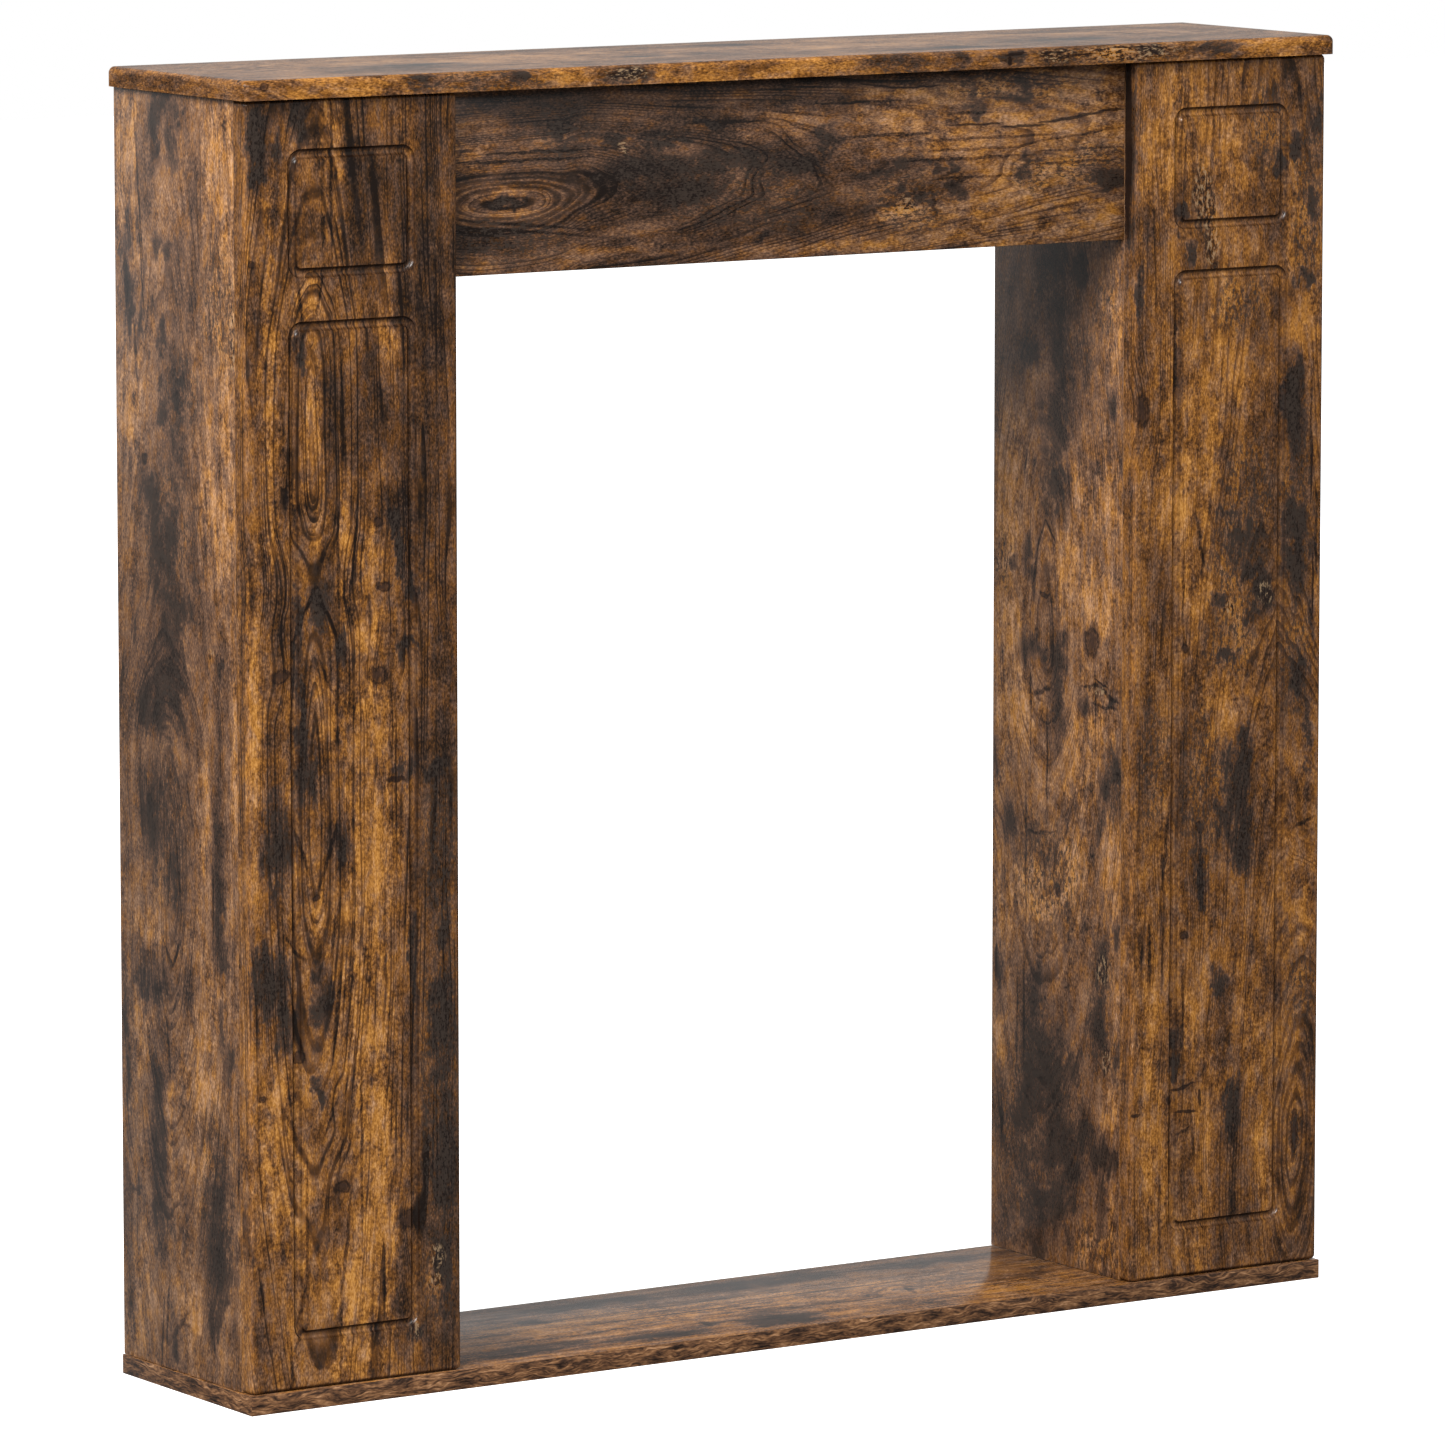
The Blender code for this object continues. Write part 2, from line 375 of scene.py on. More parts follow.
class Field:
    """A number that varies over a surface, held as a node's output, with plain arithmetic."""

    def __init__(self, tree, socket):
        self.tree = tree
        self.socket = socket

    def math(self, operation, *others):
        node = add_node(self.tree, "Math", dict(enumerate((self, *others))), operation=operation)
        return Field(self.tree, node.outputs[0])

    def __add__(self, other):
        return self.math("ADD", other)

    def __sub__(self, other):
        return self.math("SUBTRACT", other)

    def __mul__(self, other):
        return self.math("MULTIPLY", other)

    def __truediv__(self, other):
        return self.math("DIVIDE", other)

    def max(self, other):
        return self.math("MAXIMUM", other)

    def ramp(self, start, end, low=0.0, high=1.0):
        """Goes smoothly from low to high while the field goes from start to end."""
        inputs = {"Value": self, "From Min": start, "From Max": end, "To Min": low, "To Max": high}
        node = add_node(self.tree, "MapRange", inputs, interpolation_type="SMOOTHSTEP")
        return Field(self.tree, node.outputs[0])

    def along_curve(self, points):
        """The value of a smooth curve through given (field, value) points."""
        fields = [point[0] for point in points]
        values = [point[1] for point in points]
        first, last = fields[0], fields[-1]
        low, high = min(values), max(values) + 1e-6
        node = add_node(self.tree, "FloatCurve", {"Value": (self - first) / (last - first)})
        curve = node.mapping.curves[0]
        for _ in range(len(points) - 2):
            curve.points.new(0.5, 0.5)
        for held, (at, value) in zip(curve.points, points):
            held.location = ((at - first) / (last - first), (value - low) / (high - low))
        node.mapping.update()
        return Field(self.tree, node.outputs[0]) * (high - low) + low


def vector(tree, x, y, z=0.0):
    return add_node(tree, "CombineXYZ", {0: x, 1: y, 2: z}).outputs[0]


# A seed moves its noise this many periods each way
SEED_SHIFT = (13.37, 7.61)


def noise(tree, x, y, seed, detail=1.0, roughness=0.5, depth=None):
    """Cloudy noise around 0.5, mostly between 0.3 and 0.7, over coordinates in the noise's own period."""
    flat = depth is None
    place = vector(tree, x + seed * SEED_SHIFT[0], y + seed * SEED_SHIFT[1], 0.0 if flat else depth)
    inputs = {"Vector": place, "Scale": 1.0, "Detail": detail, "Roughness": roughness}
    node = add_node(tree, "TexNoise", inputs, noise_dimensions="2D" if flat else "3D")
    return Field(tree, node.outputs["Fac"])


def mark_group():
    """A node group that takes the lesser of a distance and that from a mark, in the mark's own units."""
    group = bpy.data.node_groups.new("mark", "ShaderNodeTree")
    for name, kind, direction in (
        ("Place", "NodeSocketVector", "INPUT"),
        ("Scale", "NodeSocketVector", "INPUT"),
        ("Shift", "NodeSocketVector", "INPUT"),
        ("Others", "NodeSocketFloat", "INPUT"),
        ("Nearest", "NodeSocketFloat", "OUTPUT"),
    ):
        group.interface.new_socket(name, in_out=direction, socket_type=kind)
    given = group.nodes.new("NodeGroupInput")
    wanted = group.nodes.new("NodeGroupOutput")
    local = add_node(
        group,
        "VectorMath",
        {0: given.outputs["Place"], 1: given.outputs["Scale"], 2: given.outputs["Shift"]},
        operation="MULTIPLY_ADD",
    )
    distance = add_node(group, "VectorMath", {0: local.outputs[0]}, operation="LENGTH")
    pair = {0: distance.outputs["Value"], 1: given.outputs["Others"]}
    nearest = add_node(group, "Math", pair, operation="MINIMUM")
    group.links.new(nearest.outputs[0], wanted.inputs["Nearest"])
    return group


MARK = mark_group()
# A mark fades out at this many times its half size, and the tilts are rounded to whole steps in degrees
MARK_REACH = 1 / 0.6
TILT_STEP = 6.0


def turned(tree, place, degrees):
    inputs = {"Vector": place, "Angle": math.radians(degrees)}
    return add_node(tree, "VectorRotate", inputs, rotation_type="Z_AXIS").outputs[0]


def spots(tree, place, marks):
    """The nearest of several oval marks: 1 in its middle, 0.4 at its rim and 0 further out.

    A mark is (across, along, half width, half length) with an optional tilt in degrees.
    """
    by_tilt = {}
    for mark in marks:
        tilt = TILT_STEP * round((mark[4] if len(mark) > 4 else 0.0) / TILT_STEP)
        by_tilt.setdefault(tilt, []).append(mark)
    nearest = 1.0
    for tilt, group_marks in sorted(by_tilt.items()):
        lain = turned(tree, place, -tilt) if tilt else place
        unturn = Matrix.Rotation(math.radians(-tilt), 2)
        for mark in group_marks:
            middle = unturn @ Vector(mark[:2])
            scale = (1 / (mark[2] * MARK_REACH), 1 / (mark[3] * MARK_REACH), 0.0)
            shift = (-middle.x * scale[0], -middle.y * scale[1], 0.0)
            inputs = {"Place": lain, "Scale": scale, "Shift": shift, "Others": nearest}
            node = add_node(tree, "Group", inputs, node_tree=MARK)
            nearest = Field(tree, node.outputs["Nearest"])
    return nearest * -1.0 + 1.0


def colour_ramp(tree, tone, stops):
    node = add_node(tree, "ValToRGB", {"Fac": tone})
    elements = node.color_ramp.elements
    while len(elements) < len(stops):
        elements.new(0.5)
    for element, (position, colour) in zip(elements, stops):
        element.position = position
        element.color = (*colour, 1.0)
    return node.outputs["Color"]


# A colour mix's sockets, by number, as its sockets for plain numbers have the same names
MIX_SHARE, MIX_FIRST, MIX_SECOND, MIX_RESULT = 0, 6, 7, 2


def mix_colour(tree, share, first, second):
    """Mixes two colours, the second of which may be given as red, green and blue."""
    second = (*second, 1.0) if isinstance(second, tuple) else second
    inputs = {MIX_SHARE: share, MIX_FIRST: first, MIX_SECOND: second}
    return add_node(tree, "Mix", inputs, data_type="RGBA").outputs[MIX_RESULT]


# The printed wood

WARM_TONES = (
    (0.00, (0.007, 0.003, 0.001)),
    (0.18, (0.026, 0.011, 0.003)),
    (0.36, (0.070, 0.027, 0.006)),
    (0.52, (0.135, 0.052, 0.011)),
    (0.68, (0.232, 0.094, 0.018)),
    (0.84, (0.352, 0.152, 0.030)),
    (1.00, (0.480, 0.228, 0.058)),
)
COOL_TONES = (
    (0.00, (0.007, 0.004, 0.003)),
    (0.18, (0.022, 0.013, 0.009)),
    (0.36, (0.057, 0.031, 0.020)),
    (0.52, (0.110, 0.058, 0.035)),
    (0.68, (0.188, 0.100, 0.055)),
    (0.84, (0.295, 0.162, 0.088)),
    (1.00, (0.430, 0.245, 0.140)),
)
CHARCOAL = (0.030, 0.021, 0.016)
KNOT = (0.034, 0.017, 0.011)
# Near black for cracks, knot rims and chips, and also for the painted shade in the grooves and beside the
# lintel's end
CRACK_AND_SHADE = (0.008, 0.004, 0.003)
CHIP = (0.32, 0.21, 0.115)

# Noise layers: periods across and along the grain in millimetres, seed, octaves and roughness
LAYERS = {
    "sway": (60, 260, 0.0, 1.0, 0.5),
    "flutter": (16, 150, 5.3, 1.5, 0.5),
    "fray": (17, 26, 7.7, 3.0, 0.68),
    "fray_along": (15, 30, 9.1, 2.0, 0.6),
    "spacing": (11, 300, 3.2, 0.0, 0.5),
    "strength": (9, 110, 11.4, 1.0, 0.5),
    "bands": (8, 380, 2.4, 1.5, 0.55),
    "clouds": (30, 62, 21.6, 4.0, 0.66),
    "patches": (10, 17, 26.2, 3.0, 0.72),
    "streaks": (2.4, 24, 31.8, 1.5, 0.66),
    "pores": (1.2, 3.0, 41.1, 1.0, 0.6),
    "mottle": (3.0, 3.4, 46.9, 2.0, 0.7),
    "hue": (8, 20, 71.5, 3.0, 0.72),
    "flecks": (2.6, 6.5, 61.3, 2.0, 0.75),
}

# How far a ragged mark's rim and a neat one's waver across and along the grain, in millimetres
RAGGED = (18.0, 40.0)
NEAT = (4.0, 8.0)
# A swirl is longer than it is wide by this much
SWIRL_LENGTH = 2.2
# The rings' spacing grows from nothing over the first distance, and wanders by so many rings
RING_CORE = 7.0
RING_WANDER = 5.0
RING_LEAN = 90
# The dark late wood's place in a ring, as it comes and as it ends
LATE_WOOD = (0.46, 0.94)
LATE_WOOD_END = (0.96, 1.0)
# Lines are full near a figure's middle line, and elsewhere where their noise is strong
FIGURE = (46.0, 8.0)
STRONG_LINES = (0.38, 0.68)
BOLD_STRENGTH = 0.85
# A bold ring fades between these shares of its half width
BOLD_FADE = (1.5, 0.3)
# From bright, calm clouds to dark, mottled ones
ROUGH = (0.14, -0.14, 0.45, 1.1)
# Late wood is broken up by pores, up to this share
MOST_LINE = 1.15
# How far a bright or dark form shifts the hue
FORM_COOL = 0.15
# Painted shade in the grooves: limits for walls in the shade and for all steep walls, and the strip that
# holds them
SHADED_WALL = (0.15, 0.6, 0.0, 0.8)
STEEP_WALL = (0.22, 0.5, 0.0, 0.5)
GROOVE_STRIP = (84.0, 80.0)

# How a mark's depth turns into an effect: from and to, then least and most
CORE = (0.0, 0.3)
FORM_CORE = (0.0, 0.4)
FORM = (0.1, 0.8)
STROKE = (0.15, 0.6, 0.0, 0.26)
STAIN_TONE = (0.0, 0.85, 0.0, 0.32)
STAIN_COOL = (0.0, 0.5, 0.0, 0.4)
STAIN_COVER = (0.20, 0.95)
KNOT_TONE = (0.05, 0.6, 0.0, 0.22)
KNOT_FILL = (0.33, 0.95, 0.0, 0.8)
KNOT_RIM = (0.16, 0.03, 0.0, 0.6)
KNOT_RIM_AT = 0.45
WORN = (0.0, 0.6)
WORN_FLECK = (0.50, 0.60, 0.0, 0.85)
CHIPPED = (0.1, 0.5)
CHIP_LIGHT = (0.46, 0.36, 0.0, 0.6)
CHIP_DARK = (0.53, 0.60, 0.0, 0.75)
CRACKED = (0.30, 0.55, 0.0, 0.85)

# What a sheet has where it doesn't say otherwise: the weights in the tone, the rings' ways and the marks
USUAL = {
    "tone": 0.52,
    "cool": 0.42,
    "gloss": 0.25,
    "bands": 0.38,
    "clouds": 0.70,
    "patches": 0.70,
    "streaks": 0.24,
    "pores": 0.66,
    "mottle": 0.50,
    "lines": 0.30,
    "figure": 0.45,
    "forms": 0.20,
    "stain": 1.0,
    "sway": 16.0,
    "flutter": 5.0,
    "ring_spacing": 3.0,
    "drift": None,
    "grooves": None,
    "bold_rings": (),
    "swirls": (),
    "glows": (),
    "shades": (),
    "strokes": (),
    "stains": (),
    "knots": (),
    "speckled": (),
    "chipped": (),
    "cracks": (),
}


def new_material(name):
    """A material with its node tree and its shader."""
    material = bpy.data.materials.new(name)
    material.use_nodes = True
    tree = material.node_tree
    return material, tree, tree.nodes["Principled BSDF"]


def grain_fields(tree):
    """The place on the printed sheet, across and along the grain, in millimetres."""
    source = add_node(tree, "UVMap", uv_map=GRAIN_MAP)
    parts = add_node(tree, "SeparateXYZ", {0: source.outputs["UV"]})
    return [Field(tree, parts.outputs[index]) * (1 / MM) for index in (0, 1)]


def painted_groove_shade(tree, across, middle):
    """Painted shade on the steep groove walls within a panel's frames, most on those that look down or
    right.
    """
    geometry = add_node(tree, "NewGeometry")
    parts = add_node(tree, "SeparateXYZ", {0: geometry.outputs["True Normal"]})
    rightward = Field(tree, parts.outputs[0])
    upward = Field(tree, parts.outputs[2])
    shaded = rightward.max(upward * -1.0).ramp(*SHADED_WALL)
    steep = (rightward * rightward + upward * upward).ramp(*STEEP_WALL)
    within = (across - middle).math("ABSOLUTE").ramp(*GROOVE_STRIP)
    return shaded.max(steep) * within


def printed_wood(name, own):
    """The rustic decor of one board: growth rings, brown clouds, charcoal stains, knots and distress, with
    painted shade in a panel's grooves.
    """
    sheet = {**USUAL, **own}
    material, tree, shader = new_material(name)
    across, along = grain_fields(tree)

    def layer(kind, x, bend=None, depth=None):
        """One of the noise layers, over a place across the grain that may be bent by some periods."""
        period_across, period_along, seed, detail, roughness = LAYERS[kind]
        x = x / period_across if bend is None else x / period_across + bend
        return noise(tree, x, along / period_along, sheet["seed"] + seed, detail, roughness, depth)

    # Wavering of everything that is printed
    sway = layer("sway", across) - 0.5
    flutter = layer("flutter", across) - 0.5
    fray = layer("fray", across) - 0.5
    fray_along = layer("fray_along", across) - 0.5
    ragged = vector(tree, across + fray * RAGGED[0], along + fray_along * RAGGED[1])
    neat = vector(tree, across + fray * NEAT[0], along + fray_along * NEAT[1])

    # Rings: the distance from a figure's middle line, where the sheet cuts it at a depth
    middle = along.along_curve(sheet["middle"])
    depth = along.along_curve(sheet["depth"])
    offset = (across - middle) + sway * sheet["sway"]
    distance = (offset * offset + depth * depth).math("SQRT")
    ring = distance + flutter * sheet["flutter"]
    for across_at, along_at, radius, push in sheet["swirls"]:
        swirl = spots(tree, neat, [(across_at, along_at, radius, radius * SWIRL_LENGTH)])
        ring = ring + swirl.ramp(0.0, 1.0, 0.0, push)
    lean = across / RING_LEAN
    phase = ring * ring / (ring + RING_CORE) / sheet["ring_spacing"]
    phase = phase + (layer("spacing", ring, depth=lean) - 0.5) * RING_WANDER
    saw = phase.math("FRACT")
    line = saw.ramp(*LATE_WOOD) * saw.ramp(*LATE_WOOD_END, 1.0, 0.0)
    figure = ring.ramp(*FIGURE, 0.0, sheet["figure"])
    line_strength = layer("strength", ring).ramp(*STRONG_LINES).max(figure)
    for radius, half_width in sheet["bold_rings"]:
        bold = (ring - radius).math("ABSOLUTE").ramp(
            half_width * BOLD_FADE[0], half_width * BOLD_FADE[1]
        )
        line = line.max(bold)
        line_strength = line_strength.max(bold * BOLD_STRENGTH)

    # Clouds of brown and orange, mottled all over, and streaks along the grain
    bands = layer("bands", ring) - 0.5
    clouds = layer("clouds", across) - 0.5
    patches = layer("patches", across, fray) - 0.5
    streaks = layer("streaks", ring) - 0.5
    pores = layer("pores", across) - 0.5
    mottle = layer("mottle", across) - 0.5
    hue = layer("hue", across, fray) - 0.5

    # Dark wood is rough and mottled, bright wood is calm
    rough = clouds.ramp(*ROUGH)
    tone = (
        bands * sheet["bands"]
        + clouds * sheet["clouds"]
        + patches * rough * sheet["patches"]
        + streaks * sheet["streaks"]
        + pores * sheet["pores"]
        + mottle * rough * sheet["mottle"]
        + sheet["tone"]
    )
    if sheet["drift"]:
        # The print as a whole grows lighter or darker along or across the board
        over, up, start_across, start_along = sheet["drift"]
        tone = tone + (across - start_across) * over + (along - start_along) * up
    broken = (pores * 1.8 + mottle * 1.2 + 0.9).math("MINIMUM", MOST_LINE)
    tone = tone - line * line_strength * broken * sheet["lines"]
    cool = hue * 1.9 + mottle * 0.3 + sheet["cool"]

    # Marks that brighten, darken or stain the wood, all with feathered rims
    feather = fray * 0.8 + streaks * 0.8 + patches * 0.9 + mottle * 0.5
    for kind, sign in (("glows", 1.0), ("shades", -1.0)):
        if sheet[kind]:
            form = spots(tree, ragged, sheet[kind])
            form = (form + feather * form.ramp(*FORM_CORE)).ramp(*FORM)
            tone = tone + form * (sheet["forms"] * sign)
            cool = cool - form * (FORM_COOL * sign)
    if sheet["strokes"]:
        stroke = spots(tree, neat, sheet["strokes"])
        tone = tone - (stroke + mottle * 0.4 * stroke.ramp(0.0, 0.2)).ramp(*STROKE)
    coats = []
    if sheet["stains"]:
        strength = sheet["stain"]
        stain = spots(tree, ragged, sheet["stains"])
        stain = stain + feather * 1.4 * stain.ramp(*CORE)
        tone = tone - stain.ramp(*STAIN_TONE) * strength
        cool = cool + stain.ramp(*STAIN_COOL)
        torn = mottle * 2.8 + pores * 2.6 + streaks * 1.6 + 0.56
        coats.append((stain.ramp(*STAIN_COVER) * torn * strength, CHARCOAL))
    if sheet["knots"]:
        knot = spots(tree, neat, sheet["knots"])
        knot = knot + (mottle * 0.4 + patches * 0.5) * knot.ramp(*CORE)
        tone = tone - knot.ramp(*KNOT_TONE)
        coats.append((knot.ramp(*KNOT_FILL), KNOT))
        coats.append(((knot - KNOT_RIM_AT).math("ABSOLUTE").ramp(*KNOT_RIM), CRACK_AND_SHADE))

    # Wear, and painted shade in the grooves, over the wood's own colour
    if sheet["speckled"] or sheet["chipped"]:
        flecks = layer("flecks", across, fray) + pores * 0.2
    if sheet["speckled"]:
        worn = spots(tree, ragged, sheet["speckled"]).ramp(*WORN)
        coats.append((worn * flecks.ramp(*WORN_FLECK), CHARCOAL))
    if sheet["chipped"]:
        chipped = spots(tree, neat, sheet["chipped"]).ramp(*CHIPPED)
        coats.append((chipped * flecks.ramp(*CHIP_LIGHT), CHIP))
        coats.append((chipped * flecks.ramp(*CHIP_DARK), CRACK_AND_SHADE))
    if sheet["cracks"]:
        crack = spots(tree, neat, sheet["cracks"]) + mottle * 0.3
        coats.append((crack.ramp(*CRACKED), CRACK_AND_SHADE))
    # Painted shade on the panels' groove walls, darkest where they face down or right
    if sheet["grooves"]:
        coats.append((painted_groove_shade(tree, across, sheet["grooves"]), CRACK_AND_SHADE))

    cool = cool.ramp(0.0, 1.0)
    warm_wood = colour_ramp(tree, tone, WARM_TONES)
    cool_wood = colour_ramp(tree, tone, COOL_TONES)
    colour = mix_colour(tree, cool, warm_wood, cool_wood)
    for share, paint in coats:
        colour = mix_colour(tree, share, colour, paint)
    tree.links.new(colour, shader.inputs["Base Color"])
    finish_surface(tree, shader, tone, pores + mottle, sheet["gloss"])
    return material


# The lacquer is a little smoother over bright wood, and its relief is this strong and high
LACQUER = (0.2, 0.9, 0.27, 0.20)
RELIEF_STRENGTH = 0.15
RELIEF_HEIGHT = 0.05 * MM


def finish_surface(tree, shader, tone, relief, gloss):
    """A smooth lacquer that the pores just show through."""
    inputs = {"Strength": RELIEF_STRENGTH, "Distance": RELIEF_HEIGHT, "Height": relief}
    bump = add_node(tree, "Bump", inputs)
    roughness = tone.ramp(*LACQUER)
    inputs = {"Roughness": roughness, "Specular IOR Level": gloss, "Normal": bump.outputs["Normal"]}
    fill(tree, shader, inputs)


BAND_TONES = (
    (0.00, (0.010, 0.005, 0.003)),
    (0.30, (0.042, 0.021, 0.012)),
    (0.55, (0.120, 0.056, 0.026)),
    (0.78, (0.230, 0.115, 0.052)),
    (1.00, (0.380, 0.210, 0.110)),
)


def edge_band():
    """The base's edges: a strip of fine, dark, wavy grain."""
    material, tree, shader = new_material("edge_band_decor")
    across, along = grain_fields(tree)
    wave = noise(tree, across / 14, along / 34, 3.4, detail=2.0, roughness=0.6) - 0.5
    bent = across + wave * 14.0
    streaks = noise(tree, bent / 1.8, along / 18, 7.2, detail=2.0, roughness=0.68) - 0.5
    clouds = noise(tree, across / 6, along / 30, 9.7, detail=2.0) - 0.5
    pores = noise(tree, across / 1.2, along / 3.6, 11.3) - 0.5
    tone = streaks * 1.5 + clouds * 0.9 + pores * 0.4 + 0.50
    tree.links.new(colour_ramp(tree, tone, BAND_TONES), shader.inputs["Base Color"])
    finish_surface(tree, shader, tone, pores + streaks, USUAL["gloss"])
    return material


# The sheets. A mark is (across, along, half width, half length), with an optional tilt in degrees. A swirl
# is (across, along, radius, push of the rings), and a bold ring (radius, half width). The middle and depth
# lists give a figure's middle line and its depth under the sheet at places along the grain.

LEFT_PANEL = {
    "seed": 1.3,
    "grooves": -403.75,
    "drift": (-0.0003, -0.00014, -403.75, 500.0),
    "cool": 0.38,
    "middle": [(0, -430), (128, -438), (338, -438), (560, -437), (735, -439), (860, -438), (1000, -432)],
    "depth": [
        (0, 54), (128, 40), (175, 34), (232, 27), (262, 22.5), (338, 13.5), (363, 9), (388, 4.5),
        (440, 2), (500, 4), (560, 9), (580, 12), (600, 17), (622, 22), (645, 19), (668, 9), (735, 1),
        (802, 8), (818, 13), (838, 20), (862, 26), (1000, 44),
    ],
    "sway": 8.0,
    "flutter": 4.0,
    "lines": 0.40,
    "figure": 0.58,
    "ring_spacing": 4.0,
    "bold_rings": [(5.0, 0.7), (12.5, 1.3), (21.0, 0.9), (34.0, 0.7), (40.0, 0.9)],
    "glows": [
        (-427, 935, 3, 50), (-415, 935, 4, 50), (-440, 836, 8, 26), (-372, 800, 8, 16),
        (-438, 742, 5, 52), (-436, 666, 5, 16), (-411, 645, 5, 42), (-389, 638, 10, 23),
        (-395, 585, 14, 18), (-392, 510, 22, 34), (-425, 530, 8, 24), (-490, 520, 8, 60),
        (-475, 760, 4, 150), (-392, 420, 22, 60), (-438, 375, 7, 20), (-395, 300, 20, 60),
        (-388, 200, 16, 60), (-385, 130, 16, 40), (-400, 90, 26, 28), (-470, 200, 14, 60),
        (-450, 160, 6, 40), (-405, 35, 24, 14),
    ],
    "shades": [
        (-333, 800, 20, 190), (-333, 480, 22, 130), (-330, 180, 22, 170), (-385, 905, 28, 50),
        (-485, 955, 10, 35), (-352, 850, 14, 60), (-360, 680, 16, 80), (-388, 750, 22, 40),
        (-420, 425, 12, 24), (-352, 240, 10, 70), (-335, 40, 20, 26), (-470, 600, 10, 36),
        (-362, 90, 7, 60), (-422, 745, 7, 50), (-485, 60, 9, 40),
    ],
    "strokes": [
        (-449, 838, 1.1, 26, 8), (-431, 843, 1.1, 18, -14), (-428, 905, 2.2, 34), (-421, 925, 1.2, 60),
        (-417, 640, 1.1, 46), (-404, 640, 1.1, 46, -4), (-458, 745, 1.2, 60), (-413, 745, 1.4, 50),
        (-446, 602, 1.4, 22, -22), (-427, 600, 1.6, 24, 26), (-428, 555, 1.2, 16, 24),
        (-450, 425, 1.4, 20, 16), (-426, 420, 1.4, 26, -16), (-456, 350, 1.6, 14, 40),
        (-421, 365, 1.8, 20, -14), (-420, 300, 1.7, 34, -4), (-456, 300, 1.4, 32, 10),
        (-426, 220, 1.2, 16, -24), (-405, 250, 1.2, 60, -6), (-411, 250, 1.0, 70, -7),
        (-399, 200, 1.2, 70, -3), (-413, 120, 1.4, 44, -8), (-447, 130, 1.2, 60, -3),
        (-449, 90, 1.3, 26, -9), (-453, 55, 1.2, 12, -30), (-461, 28, 1.4, 22, -2), (-487, 88, 2.4, 12),
        (-418, 60, 1.2, 44),
    ],
    "stains": [
        (-486, 962, 8, 16), (-484, 930, 7, 7), (-470, 948, 5, 12), (-449, 972, 8, 14),
        (-447, 797, 5, 8), (-434, 604, 8, 16), (-449, 508, 5, 46), (-452, 592, 3.2, 26),
        (-414, 580, 5, 13), (-438, 480, 3.6, 20), (-470, 427, 12, 30), (-477, 322, 15, 24),
        (-466, 298, 9, 20), (-484, 345, 7, 12), (-433, 312, 9, 20), (-352, 336, 3.2, 34),
        (-357, 477, 8, 9), (-364, 645, 5, 24), (-352, 612, 6, 9), (-355, 572, 8, 6), (-436, 240, 5, 7),
        (-326, 360, 5, 16), (-326, 95, 6, 30), (-352, 52, 6, 6), (-414, 425, 5, 14), (-333, 478, 9, 8),
        (-328, 280, 10, 30), (-326, 170, 8, 36),
    ],
    "knots": [
        (-383, 551, 9, 5.5), (-467, 556, 8, 5), (-453, 268, 5, 4), (-417, 165, 7, 4),
        (-358, 136, 7, 7.5), (-382, 667, 3.5, 4), (-378, 618, 6, 3), (-438, 388, 3.4, 2.4),
        (-490, 863, 3, 3), (-485, 239, 3.4, 2.6),
    ],
    "cracks": [(-368, 472, 9, 2.4)],
    "speckled": [(-330, 240, 17, 110), (-330, 90, 15, 40), (-488, 950, 8, 30), (-330, 420, 14, 60)],
    "chipped": [(-333, 105, 6, 8), (-335, 86, 6, 6), (-352, 52, 4, 6)],
    "swirls": [
        (-417, 165, 13, 7.0), (-358, 135, 12, 7.0), (-384, 552, 14, 6.0), (-467, 555, 12, 6.0),
        (-421, 236, 8, 4.0),
    ],
}

